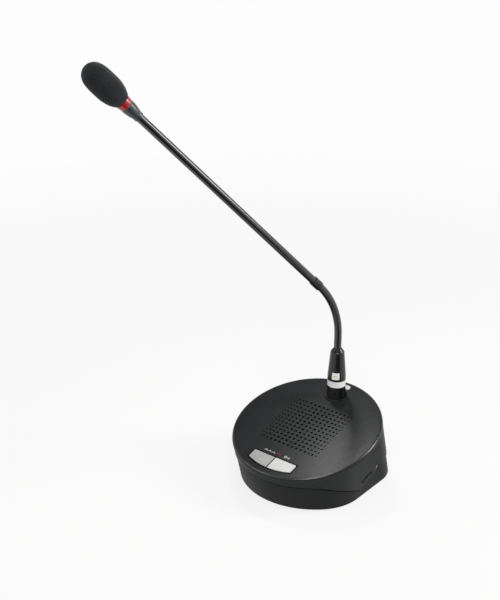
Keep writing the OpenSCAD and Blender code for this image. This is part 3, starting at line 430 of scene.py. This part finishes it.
# Tinted acrylic: deep red under a polished skin, or frosted without it
def tintedAcrylic(name, deep, bright, rough, shell, cloudMm=3.0):
    material, tree, coords = newMaterial(name)
    cloud = addNode(
        tree, "ShaderNodeTexNoise", {"Vector": coords, "Scale": perMm(cloudMm), "Detail": 2.0}
    ).outputs["Fac"]
    tint = addNode(tree, "ShaderNodeValToRGB", {"Fac": cloud}, stops=((0.3, deep), (0.7, bright)))
    shader = addNode(
        tree,
        "ShaderNodeBsdfPrincipled",
        {
            "Base Color": tint.outputs["Color"],
            "Roughness": rough,
            "IOR": 1.49,
            "Coat Weight": shell,
            "Coat Roughness": 0.06,
        },
    )
    return closeMaterial(material, shader)


# Glass-fibre circuit board under solder mask, with faint copper tracks about 2.8 mm apart
def circuitBoard(name, mask, track, waveMm=9.0):
    material, tree, coords = newMaterial(name)
    tracks = addNode(
        tree,
        "ShaderNodeTexWave",
        {"Vector": coords, "Scale": perMm(waveMm), "Distortion": 3.0, "Detail": 2.0},
        wave_type="BANDS",
    ).outputs["Fac"]
    tint = addNode(tree, "ShaderNodeValToRGB", {"Fac": tracks}, stops=((0.55, mask), (0.62, track)))
    shader = addNode(
        tree,
        "ShaderNodeBsdfPrincipled",
        {"Base Color": tint.outputs["Color"], "Roughness": 0.35, "IOR": 1.5},
    )
    return closeMaterial(material, shader)


# Woven speaker cloth: two sets of threads 1.2 mm apart, coarser than the real 0.6 mm so that
# they show. A wave repeats after 0.314 of the length that sets its scale.
def wovenCloth(name, thread, gap, waveMm=3.8):
    material, tree, coords = newMaterial(name)
    warp, weft = (
        addNode(
            tree,
            "ShaderNodeTexWave",
            {"Vector": coords, "Scale": perMm(waveMm)},
            bands_direction=axis,
        ).outputs["Fac"]
        for axis in ("X", "Y")
    )
    weave = addNode(tree, "ShaderNodeMath", {0: warp, 1: weft}, operation="MULTIPLY").outputs[0]
    tint = addNode(tree, "ShaderNodeValToRGB", {"Fac": weave}, stops=((0.0, gap), (1.0, thread)))
    shader = addNode(
        tree,
        "ShaderNodeBsdfPrincipled",
        {"Base Color": tint.outputs["Color"], "Roughness": 0.95, "Sheen Weight": 0.1},
    )
    return closeMaterial(material, shader)


# Printed vinyl film, used for the plug's labels and the key marks: even, with a little wear
def printedFilm(name, paper, worn, rough, wearMm=1.6):
    material, tree, coords = newMaterial(name)
    wear = addNode(
        tree, "ShaderNodeTexNoise", {"Vector": coords, "Scale": perMm(wearMm), "Detail": 4.0}
    ).outputs["Fac"]
    tint = addNode(tree, "ShaderNodeValToRGB", {"Fac": wear}, stops=((0.3, worn), (0.5, paper)))
    shader = addNode(
        tree,
        "ShaderNodeBsdfPrincipled",
        {"Base Color": tint.outputs["Color"], "Roughness": rough, "IOR": 1.5},
    )
    return closeMaterial(material, shader)


# Finish of each of the solids' slots: its dark and its light tone, then its gloss
finish = {
    "case_black": mouldedAbs(
        "mouldedBlackAbs", "#222324", "#28292a", rough=(0.26, 0.29), shine=0.17, rim=True
    ),
    "case_grey": mouldedAbs(
        "mouldedCharcoalAbs", "#161718", "#1c1d1e", rough=(0.34, 0.4), shine=0.17
    ),
    "foot_rubber": softRubber("footRubber", "#181818", "#262626", rough=0.8),
    "screw_steel": plainMetal("zincSteel", "#8c8e90", "#b4b6b7", rough=0.35),
    "ballast_steel": plainMetal("ballastSteel", "#6f7275", "#8e9194", rough=0.45),
    "board_green": circuitBoard("solderMask", "#0f4a2c", "#1c6a41"),
    "inner_black": mouldedAbs("blackNylon", "#121213", "#1a1a1b", rough=(0.4, 0.5)),
    "plunger_cream": mouldedAbs("creamAcetal", "#cfc9b6", "#dcd7c6", rough=(0.35, 0.42)),
    # Both keys carry near-black painted shade on their sides below the cap
    "key_grey": keyWithPaintedGapShade("greyKeyPlastic", "#a5a5a4", "#b1b1b0", gapShade="#0c0c0d"),
    "key_white": keyWithPaintedGapShade("whiteKeyPlastic", "#d2d2d0", "#dcdcda", gapShade="#0c0c0d"),
    "lens_red": tintedAcrylic("redAcrylic", "#980c0f", "#a81216", rough=0.2, shell=0.5),
    "cloth_black": wovenCloth("speakerCloth", "#111112", "#050505"),
    "gasket_black": softRubber("gasketFoam", "#151515", "#222222", rough=0.9),
    "basket_steel": coatedMetal("basketPaint", "#3c3e41", "#4a4c4f", rough=0.4),
    "cone_paper": softRubber("conePaper", "#161616", "#242424", rough=0.9, grainMm=0.5),
    "magnet_ferrite": plainMetal("ferrite", "#4c4d50", "#606164", rough=0.5),
    "contact_brass": plainMetal("goldFlash", "#b98a36", "#d9b15c", rough=0.25),
    "latch_silver": coatedMetal(
        "satinNickelPaint", "#dadad6", "#e6e6e2", rough=0.32, ripple=0.02
    ),
    "ring_chrome": plainMetal("brightChrome", "#d6d7d8", "#f0f0f0", rough=0.3),
    "wheel_black": mouldedAbs("wheelNylon", "#151516", "#1d1d1e", rough=(0.4, 0.48)),
    "plug_black": coatedMetal(
        "plugBlackCoat", "#0b0c0e", "#111316", rough=0.24, coat=0.0, shine=0.6, ripple=0.02
    ),
    "sleeve_nickel": plainMetal("nickelPlate", "#b0b0ae", "#cfcfcc", rough=0.25),
    "core_steel": plainMetal("coreSteel", "#7a7c7e", "#9a9c9e", rough=0.35),
    "flex_rubber": softRubber(
        "flexSleeve", "#0c0e0f", "#121416", rough=0.2, grainMm=1.2, shine=0.9
    ),
    "stem_black": coatedMetal(
        "stemBlackEnamel", "#0b0d0e", "#101214", rough=0.14, coat=0.0, shine=0.9, ripple=0.0
    ),
    "flare_grey": coatedMetal(
        "flareGreyCoat", "#26282b", "#2b2d30", rough=0.36, coat=0.0, shine=0.8, ripple=0.0
    ),
    "housing_metal": plainMetal("capsuleAluminium", "#a9abad", "#c3c5c7", rough=0.3),
    "foam_grey": openFoam("windscreenFoam", "#0a0c0e", "#21262a"),
}
labelWhite = printedFilm("labelVinyl", "#fdfdfb", "#f4f4f0", rough=0.45)
labelAmber = printedFilm("amberInk", "#f0d596", "#e8c880", rough=0.5)
statusRed = tintedAcrylic("frostedRedAcrylic", "#7c1216", "#8e181c", rough=0.5, shell=0.0)
# Near-black painted shade, for the groove between the halves and the chamfer round the keys
paintedShadeBlack = softRubber("grooveShade", "#030303", "#060606", rough=0.9, shine=0.05)
markWhite = printedFilm("whiteInk", "#d9d9d7", "#b9b9b7", rough=0.5)
print("materials made:", len(bpy.data.materials))

record = frame["record"]
slotOf = {part["node"]: part["material_slot"] for part in record["subparts"]}
bodyOf = {node: body for body, nodes in record["behaviour"]["bodies"].items() for node in nodes}


# Edges that turn by less than smoothTurn degrees are shaded smooth
def addPiece(name, bm, material, body=None, smoothTurn=32.0):
    limit = math.radians(smoothTurn)
    for face in bm.faces:
        face.smooth = True
    for edge in bm.edges:
        edge.smooth = len(edge.link_faces) == 2 and edge.calc_face_angle(0.0) < limit
    mesh = bpy.data.meshes.new(name)
    bm.to_mesh(mesh)
    bm.free()
    mesh.materials.append(material)
    piece = bpy.data.objects.new(name, mesh)
    bpy.context.scene.collection.objects.link(piece)
    if body:
        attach(piece, body)
    return piece


# Every solid gets its finish
for node, solid in frame["nodes"].items():
    solid.data.materials.clear()
    solid.data.materials.append(finish[slotOf[node]])

# Solids that show get softened edges and smooth shading on a merged copy; sizes in mm
softEdges = {
    "upper_case": 0.25,
    "lower_case": 0.45,
    "rubber_feet": 0.0,
    "priority_button": 0.35,
    "talk_button": 0.35,
    "led_lens": 0.1,
    "socket_latch": 0.4,
    "mic_socket": 0.2,
    "volume_wheel": 0.1,
    "jack_ring": 0.2,
    "headphone_jack": 0.1,
    "bus_sockets": 0.25,
    "bus_inserts": 0.0,
    "plug_shell": 0.3,
    "stem_collar": 0.12,
    "stem_tube": 0.0,
    "head_flare": 0.15,
    "led_ring": 0.15,
}
# Cleaning of a copied solid: mm, degrees and the weight of its larger faces
dress = {"mergeMm": 0.001, "flatTurn": 0.2, "sharpTurn": 35.0, "evenWeight": 60}


# The ends of an edge in mm on the top
def onTop(edge):
    return [topFrame.inverted() @ vert.co / mm for vert in edge.verts]


# The drilled field of the grille, whose holes keep sharp edges; mm on the top
grille = {"halfWidth": 39.0, "low": -34.0, "high": 33.0, "depth": 3.0}


def inGrille(edge):
    return all(
        abs(end.x) < grille["halfWidth"]
        and grille["low"] < end.y < grille["high"]
        and end.z > -grille["depth"]
        for end in onTop(edge)
    )


# Edge of the opening round the two keys, cut as a near-black chamfer that is painted shade and shows
# as a black line; mm on the top
keyHole = {"halfWidth": 36.0, "low": -73.0, "high": -49.2, "flush": 0.02, "edge": 0.7}


def roundKeys(edge):
    return all(
        abs(end.x) < keyHole["halfWidth"]
        and keyHole["low"] < end.y < keyHole["high"]
        and abs(end.z) < keyHole["flush"]
        for end in onTop(edge)
    )


# The band of the lower case just under the split gets a near-black material: painted shade in the
# groove between the halves.
# Heights of the split in mm, seen from the side
groove = {"frontZ": 29.5, "frontY": -50.0, "dipY": -2.0, "dipZ": 10.3, "reach": 2.2}


def inGroove(face):
    fall = (groove["frontZ"] - groove["dipZ"]) / (groove["dipY"] - groove["frontY"])
    for vert in face.verts:
        y, z = vert.co.y / mm, vert.co.z / mm
        ahead = min(groove["frontZ"], groove["frontZ"] - fall * (y - groove["frontY"]))
        behind = groove["dipZ"] + (y - groove["dipY"]) * math.tan(math.radians(base["tilt"]))
        if z < max(ahead, behind) - groove["reach"]:
            return False
    return True


# Softens edges by two facets, or cuts one facet with material 1, the near-black painted shade
def soften(bm, edges, sizeMm, segments=2, material=-1):
    bmesh.ops.bevel(
        bm,
        geom=edges,
        offset=sizeMm * mm,
        segments=segments,
        profile=0.5,
        affect="EDGES",
        clamp_overlap=False,
        material=material,
    )


def dressSolid(node, edgeMm):
    bm = bmesh.new()
    bm.from_mesh(frame["nodes"][node].data)
    bmesh.ops.remove_doubles(bm, verts=bm.verts, dist=dress["mergeMm"] * mm)
    flat, sharp = math.radians(dress["flatTurn"]), math.radians(dress["sharpTurn"])
    bmesh.ops.dissolve_limit(bm, angle_limit=flat, verts=bm.verts, edges=bm.edges)
    # Painted shade: faces in the groove band get material 1, near-black
    if node == "lower_case":
        for face in bm.faces:
            face.material_index = int(inGroove(face))
    if edgeMm:
        corners = [e for e in bm.edges if len(e.link_faces) == 2 and e.calc_face_angle(0.0) > sharp]
        if node == "upper_case":
            # Edges of the key opening get a near-black chamfer: painted shade of the gap
            keyShadeEdges = [e for e in corners if roundKeys(e)]
            corners = [e for e in corners if not inGrille(e) and not roundKeys(e)]
            soften(bm, keyShadeEdges, keyHole["edge"], segments=1, material=1)
            corners = [e for e in corners if e.is_valid]
        soften(bm, corners, edgeMm)
    skin = statusRed if node == "led_lens" else finish[slotOf[node]]
    piece = addPiece("shown_" + node, bm, skin, bodyOf[node])
    if node in ("upper_case", "lower_case"):
        piece.data.materials.append(paintedShadeBlack)
    level = piece.modifiers.new("evenNormals", "WEIGHTED_NORMAL")
    level.keep_sharp = True
    level.weight = dress["evenWeight"]
    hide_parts(node)


for node, edgeMm in softEdges.items():
    dressSolid(node, edgeMm)
print("solids dressed:", len(softEdges))

# The flexible sleeve: one closed length of tube over each joint; mm
sleeve = {"sides": 40, "step": 0.75, "leastSteps": 12, "startIn": 0.5, "endIn": 0.1, "blendIn": 0.3}


def neckTube(name, stations):
    bm = bmesh.new()
    ends = []
    for radius in (neck["flexR"], neck["flexBoreR"]):
        ring = bmesh.ops.create_circle(
            bm,
            cap_ends=False,
            segments=sleeve["sides"],
            radius=radius * mm,
            matrix=alongNeck(stations[0]),
        )
        loop = list({edge for vert in ring["verts"] for edge in vert.link_edges})
        first = loop
        for here, ahead in zip(stations, stations[1:]):
            grown = bmesh.ops.extrude_edge_only(bm, edges=loop)["geom"]
            verts = [g for g in grown if isinstance(g, bmesh.types.BMVert)]
            edges = [g for g in grown if isinstance(g, bmesh.types.BMEdge)]
            loop = [e for e in edges if e.verts[0] in verts and e.verts[1] in verts]
            step = alongNeck(ahead) @ alongNeck(here).inverted()
            bmesh.ops.transform(bm, matrix=step, verts=verts)
        ends.append((first, loop))
    for end in (0, 1):
        bmesh.ops.bridge_loops(bm, edges=ends[0][end] + ends[1][end])
    bmesh.ops.recalc_face_normals(bm, faces=bm.faces)
    return addPiece(name, bm, finish["flex_rubber"])


neckBodies = ["base"] + ["link_%d" % (i + 1) for i in range(neck["links"])] + ["head"]
half = neck["pitch"] / 2
for i, (below, above) in enumerate(zip(neckBodies, neckBodies[1:])):
    joint = neck["firstJoint"] + i * neck["pitch"]
    low = -neck["flexIn"] + sleeve["startIn"] if below == "base" else joint - half
    high = neckLen + neck["flexUp"] - sleeve["endIn"] if above == "head" else joint + half
    steps = max(sleeve["leastSteps"], round((high - low) / sleeve["step"]))
    stations = [low + (high - low) * k / steps for k in range(steps + 1)]
    tube = neckTube("flexLength%d" % (i + 1), stations)
    startPoint = alongNeck(joint - half + sleeve["blendIn"]).translation
    endPoint = alongNeck(joint + half - sleeve["blendIn"]).translation
    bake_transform(tube)
    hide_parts("gooseneck_sleeve")
print("neck sleeve made")

# Foam windscreen: the solid's outline with open pores pressed into the skin; mm
foam = {
    "start": 22.25,
    "length": 44.0,
    "radius": 12.4,
    "waist": 18.0,
    "tailReach": 1.25,  # the tail's ellipse, in lengths of the waist
    "nosePower": 4,
    "boreR": 6.25,
    "boreDepth": 30.0,
    "footFlat": 0.5,
    "footRound": 0.15,
    "footRows": 6,
    "rows": 150,
    "sides": 220,
    "mergeMm": 0.002,
    "skinOut": 0.4,
    "skinUp": 0.5,
    "pore": 0.8,
    "poreReach": 0.55,
    "poreDepth": 0.42,
    "lump": 3.5,
    "lumpDepth": 0.12,
    "smoothTurn": 80.0,
}


def foamRadius(s):
    if s < foam["waist"]:
        back = (foam["waist"] - s) / (foam["tailReach"] * foam["waist"])
        return foam["radius"] * math.sqrt(1 - back**2)
    ahead = (s - foam["waist"]) / (foam["length"] - foam["waist"])
    return foam["radius"] * math.sqrt(max(0, 1 - ahead ** foam["nosePower"]))


def foamOutline():
    bore, depth = foam["boreR"], foam["boreDepth"]
    foot = foamRadius(0)
    outline = [(0, depth), (bore, depth), (bore, 0.0)]
    for k in range(1, foam["footRows"] + 1):
        outline.append((bore + (foot - foam["footFlat"] - bore) * k / foam["footRows"], 0.0))
    outline.append((foot - foam["footRound"], foam["footRound"]))
    for k in range(1, foam["rows"] + 1):
        s = foam["length"] * math.sin(math.pi / 2 * k / foam["rows"])
        outline.append((foamRadius(min(s, foam["length"])), s))
    return outline


def onFoamSkin(vert):
    beside = vert.co.xy.length > (foam["boreR"] + foam["skinOut"]) * mm
    return beside or vert.co.z > (foam["boreDepth"] + foam["skinUp"]) * mm


def makeWindscreen():
    bm = bmesh.new()
    verts = [bm.verts.new((r * mm, 0, s * mm)) for r, s in foamOutline()]
    edges = [bm.edges.new(pair) for pair in zip(verts, verts[1:])]
    bmesh.ops.spin(
        bm,
        geom=verts + edges,
        cent=(0, 0, 0),
        axis=(0, 0, 1),
        angle=2 * math.pi,
        steps=foam["sides"],
        use_merge=True,
    )
    bmesh.ops.remove_doubles(bm, verts=bm.verts, dist=foam["mergeMm"] * mm)
    bmesh.ops.recalc_face_normals(bm, faces=bm.faces)
    bm.normal_update()
    for vert in [v for v in bm.verts if onFoamSkin(v)]:
        near = noise.voronoi(vert.co / (foam["pore"] * mm), distance_metric="DISTANCE")[0][0]
        pit = 1 - min(1, near / foam["poreReach"])
        lump = noise.noise(vert.co / (foam["lump"] * mm))
        sunk = foam["poreDepth"] * pit * pit + foam["lumpDepth"] * (lump + 1) / 2
        vert.co -= vert.normal * sunk * mm
    place = headFrame @ Matrix.Translation((0, 0, foam["start"] * mm))
    bmesh.ops.transform(bm, matrix=place, verts=bm.verts)
    piece = addPiece("foamWindscreen", bm, finish["foam_grey"], "head", foam["smoothTurn"])
    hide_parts("windscreen")


makeWindscreen()
print("windscreen made")

# Labels on the microphone's plug: a blank band round the shell and above it a square with
# one plain bar; sizes in mm, angles in degrees from +X
labels = {
    "shellZ": 72.7,
    "shellR": 9.5,
    "straight": 25.0,
    "taper": 26.0,
    "neckR": 7.15,
    "glue": 0.01,
    "film": 0.06,
    "ink": 0.03,
    "bandZ": (85.9, 92.5),
    "bandTurn": (0, 360),
    "bandSteps": 96,
    "squareZ": (95.2, 102.6),
    "squareTurn": (-87.0, -38.0),
    "squareSteps": 24,
    "barZ": (98.2, 99.6),
    "barTurn": (-75.0, -50.0),
}
shoulder = labels["shellZ"] + labels["straight"]


def shellRadius(z):
    past = max(0, z - labels["shellZ"] - labels["straight"])
    return labels["shellR"] + (labels["neckR"] - labels["shellR"]) * past / labels["taper"]


def wrapLabel(name, low, high, turns, film, material):
    bm = bmesh.new()
    heights = [low] + ([shoulder] if low < shoulder < high else []) + [high]
    outside = [(shellRadius(z) + film, z) for z in heights]
    inside = [(shellRadius(z) + labels["glue"], z) for z in reversed(heights)]
    start = math.radians(turns[0])
    across = Vector((math.cos(start), math.sin(start), 0))
    centre = Vector((0, neck["plugY"] * mm, 0))
    corners = [centre + across * r * mm + Vector((0, 0, z * mm)) for r, z in outside + inside]
    verts = [bm.verts.new(corner) for corner in corners]
    closed = turns[1] - turns[0] >= 360
    if closed:
        geom = verts + [bm.edges.new(pair) for pair in zip(verts, verts[1:] + verts[:1])]
    else:
        geom = [bm.faces.new(verts)]
    bmesh.ops.spin(
        bm,
        geom=geom,
        cent=centre,
        axis=(0, 0, 1),
        angle=math.radians(turns[1] - turns[0]),
        steps=labels["bandSteps"] if closed else labels["squareSteps"],
        use_merge=closed,
    )
    bmesh.ops.recalc_face_normals(bm, faces=bm.faces)
    piece = addPiece(name, bm, material, "base")


wrapLabel("plugBand", *labels["bandZ"], labels["bandTurn"], labels["film"], labelWhite)
wrapLabel("plugSquare", *labels["squareZ"], labels["squareTurn"], labels["film"], labelWhite)
wrapLabel("plugBar", *labels["barZ"], labels["barTurn"], labels["film"] + labels["ink"], labelAmber)
print("labels made")

# Plain marks printed above the keys, in mm on the top: arrowheads for the left key and
# sound waves for the right one
marks = {
    "v": -47.6,
    "film": 0.04,
    "stroke": 0.62,
    "leftU": (-15.4, -10.8, -6.2),
    "armMm": 2.7,
    "armTurn": 45,
    "rightU": 8.4,
    "ringR": 1.5,
    "ringSides": 32,
    "waves": ((2.7, 1.7), (4.4, 3.0)),  # step from the ring and length
    "waveTurn": 90,
}


def printMark(name, bars, rings):
    bm = bmesh.new()
    film = marks["film"] * mm
    for u, v, length, turn in bars:
        place = Matrix.Translation((u * mm, v * mm, 0)) @ turned(turn, "Z")
        size = Matrix.Diagonal((length * mm, marks["stroke"] * mm, film, 1))
        bmesh.ops.create_cube(bm, size=1.0, matrix=place @ size)
    for u, v, radius in rings:
        loops = []
        place = Matrix.Translation((u * mm, v * mm, -film / 2))
        for r in (radius, radius - marks["stroke"]):
            made = bmesh.ops.create_circle(
                bm, segments=marks["ringSides"], radius=r * mm, matrix=place
            )
            loops += list({edge for vert in made["verts"] for edge in vert.link_edges})
        faces = bmesh.ops.bridge_loops(bm, edges=loops)["faces"]
        grown = bmesh.ops.extrude_face_region(bm, geom=faces)["geom"]
        upper = [g for g in grown if isinstance(g, bmesh.types.BMVert)]
        bmesh.ops.translate(bm, vec=(0, 0, film), verts=upper)
    bmesh.ops.recalc_face_normals(bm, faces=bm.faces)
    lift = topFrame @ Matrix.Translation((0, 0, film / 2))
    bmesh.ops.transform(bm, matrix=lift, verts=bm.verts)
    piece = addPiece(name, bm, markWhite, "base")


# The two arms of an arrowhead overlap by half a stroke
armStep = marks["armMm"] * math.sqrt(0.5) / 2 - marks["stroke"] / 4
arrowBars = [
    (u + side * armStep, marks["v"], marks["armMm"], -side * marks["armTurn"])
    for u in marks["leftU"]
    for side in (-1, 1)
]
printMark("leftKeyMark", arrowBars, [])
waveBars = [
    (marks["rightU"] + step, marks["v"], length, marks["waveTurn"])
    for step, length in marks["waves"]
]
printMark("rightKeyMark", waveBars, [(marks["rightU"], marks["v"], marks["ringR"])])
print("key marks made")

# White floor that still catches the unit's shadow. Mirrored, it is white at the sides and dark
# towards the camera, as a studio is behind its photographer; m from the unit and degrees.
stage = {
    "floorSize": 14.0,
    "floorGap": 0.00005,
    "floorTint": "#f2f2f0",
    "floorCast": "#c0c0be",
    "glow": (0.8, 0.98),
    "glowReach": (0.25, 1.3),
    "mirrorNear": (0.4, 0.75),
    "mirrorBack": -0.3,
    "mirrorSide": 0.9,
    "mirrorFront": 0.08,
    "mirrorReach": (0.16, 0.22),
    "frontTurn": -40.0,
    "frontEdge": (26.0, 46.0),
    "fill": 0.15,
    "backdropRise": (0.2, 0.4),
}
white = (1, 1, 1, 1)


# 1 for rays that come from the camera, also through clear pieces
def seenRays(tree, paths):
    rays = {0: paths["Is Camera Ray"], 1: paths["Is Transmission Ray"]}
    return addNode(tree, "ShaderNodeMath", rays, operation="MAXIMUM").outputs[0]


# The floor as the camera sees it, white by its own glow further out, and as the matt floor
# that lights the unit
def paleFloor(tree, paths, away):
    near, far = stage["glowReach"]
    least, most = stage["glow"]
    reach = addNode(
        tree,
        "ShaderNodeMapRange",
        {"Value": away, "From Min": near, "From Max": far, "To Min": least, "To Max": most},
    ).outputs["Result"]
    seen = seenRays(tree, paths)
    share = addNode(tree, "ShaderNodeMath", {0: seen, 1: reach}, operation="MULTIPLY").outputs[0]
    tint = addNode(
        tree,
        "ShaderNodeMix",
        {"Factor": seen, "A": linear(stage["floorCast"]), "B": linear(stage["floorTint"])},
        data_type="RGBA",
    )
    matt = addNode(tree, "ShaderNodeBsdfDiffuse", {"Color": tint.outputs["Result"]}).outputs[0]
    glow = addNode(tree, "ShaderNodeEmission", {"Color": white, "Strength": 1.0}).outputs[0]
    return addNode(tree, "ShaderNodeMixShader", {0: share, 1: matt, 2: glow}).outputs[0]


# The floor as glossy pieces mirror it
def mirroredFloor(tree, coords, away):
    turn = math.radians(stage["frontTurn"])
    front = (math.cos(turn), math.sin(turn), 0)
    inner, outer = (math.cos(math.radians(edge)) for edge in stage["frontEdge"])
    dim, full = stage["mirrorNear"]
    start, end = stage["mirrorReach"]
    heading = addNode(
        tree, "ShaderNodeVectorMath", {0: coords}, operation="NORMALIZE"
    ).outputs["Vector"]
    facing = addNode(
        tree, "ShaderNodeVectorMath", {0: heading, 1: front}, operation="DOT_PRODUCT"
    ).outputs["Value"]
    around = addNode(
        tree,
        "ShaderNodeMapRange",
        {
            "Value": facing,
            "From Min": outer,
            "From Max": inner,
            "To Min": stage["mirrorSide"],
            "To Max": stage["mirrorFront"],
        },
    ).outputs["Result"]
    close = addNode(
        tree,
        "ShaderNodeMapRange",
        {
            "Value": facing,
            "From Min": stage["mirrorBack"],
            "From Max": 1.0,
            "To Min": dim,
            "To Max": full,
        },
    ).outputs["Result"]
    beyond = addNode(
        tree, "ShaderNodeMapRange", {"Value": away, "From Min": start, "From Max": end}
    ).outputs["Result"]
    bright = addNode(
        tree, "ShaderNodeMix", {"Factor": beyond, "A": close, "B": around}, data_type="FLOAT"
    ).outputs["Result"]
    return addNode(tree, "ShaderNodeEmission", {"Color": white, "Strength": bright}).outputs[0]


def addFloor():
    material, tree, coords = newMaterial("paleFloor")
    paths = addNode(tree, "ShaderNodeLightPath").outputs
    away = addNode(
        tree, "ShaderNodeVectorMath", {0: coords}, operation="LENGTH"
    ).outputs["Value"]
    pale = paleFloor(tree, paths, away)
    mirrored = mirroredFloor(tree, coords, away)
    surface = addNode(
        tree, "ShaderNodeMixShader", {0: paths["Is Glossy Ray"], 1: pale, 2: mirrored}
    )
    closeMaterial(material, surface)
    bm = bmesh.new()
    below = Matrix.Translation((0, 0, -stage["floorGap"]))
    side = stage["floorSize"] / 2
    bmesh.ops.create_grid(bm, x_segments=2, y_segments=2, size=side, matrix=below)
    floor = addPiece("floor", bm, material)


# White backdrop to the camera; mirrored, it is white near the horizon and dark overhead
def addWorld():
    world = bpy.data.worlds.new("studio")
    bpy.context.scene.world = world
    world.use_nodes = True
    tree = world.node_tree
    tree.nodes.clear()
    paths = addNode(tree, "ShaderNodeLightPath").outputs
    seen = seenRays(tree, paths)
    ray = addNode(tree, "ShaderNodeTexCoord").outputs["Generated"]
    rise = addNode(tree, "ShaderNodeSeparateXYZ", {0: ray}).outputs["Z"]
    low, high = stage["backdropRise"]
    backdrop = addNode(
        tree,
        "ShaderNodeMapRange",
        {"Value": rise, "From Min": low, "From Max": high, "To Min": 1.0, "To Max": 0.0},
    ).outputs["Result"]
    mirrored = addNode(
        tree, "ShaderNodeMath", {0: paths["Is Glossy Ray"], 1: backdrop}, operation="MULTIPLY"
    ).outputs[0]
    shown = addNode(tree, "ShaderNodeMath", {0: seen, 1: mirrored}, operation="MAXIMUM").outputs[0]
    level = addNode(
        tree, "ShaderNodeMapRange", {"Value": shown, "To Min": stage["fill"], "To Max": 1.0}
    ).outputs["Result"]
    light = addNode(tree, "ShaderNodeBackground", {"Color": white, "Strength": level})
    addNode(tree, "ShaderNodeOutputWorld", {"Surface": light.outputs[0]})


# Softboxes: place, target and size in m, power in W
lamps = {
    "sheenBox": ((-0.203, 0.163, 0.573), (0.06, -0.03, 0.05), (0.08, 0.08), 0.74),
    "leftBox": ((-0.8, -0.6, 1.15), (0.0, 0.0, 0.05), (0.6, 0.6), 2.2),
    "rightBox": ((0.95, 0.7, 0.85), (-0.1, -0.2, 0.3), (0.4, 0.8), 10.0),
    "frontBox": ((0.9, -1.3, 0.8), (0.0, 0.0, 0.1), (0.9, 0.9), 13.0),
    "topBox": ((0.25, -0.4, 1.5), (0.0, 0.0, 0.05), (0.6, 0.6), 4.6),
}


def addSoftbox(name, place, target, size, power):
    data = bpy.data.lights.new(name, "AREA")
    data.shape = "RECTANGLE"
    data.size, data.size_y = size
    data.energy = power
    lamp = bpy.data.objects.new(name, data)
    aim = (Vector(target) - Vector(place)).to_track_quat("-Z", "Y")
    lamp.matrix_world = Matrix.Translation(Vector(place)) @ aim.to_matrix().to_4x4()
    bpy.context.scene.collection.objects.link(lamp)


addFloor()
addWorld()
for name, values in lamps.items():
    addSoftbox(name, *values)
bpy.context.scene.view_settings.view_transform = "Standard"
print("stage lit")
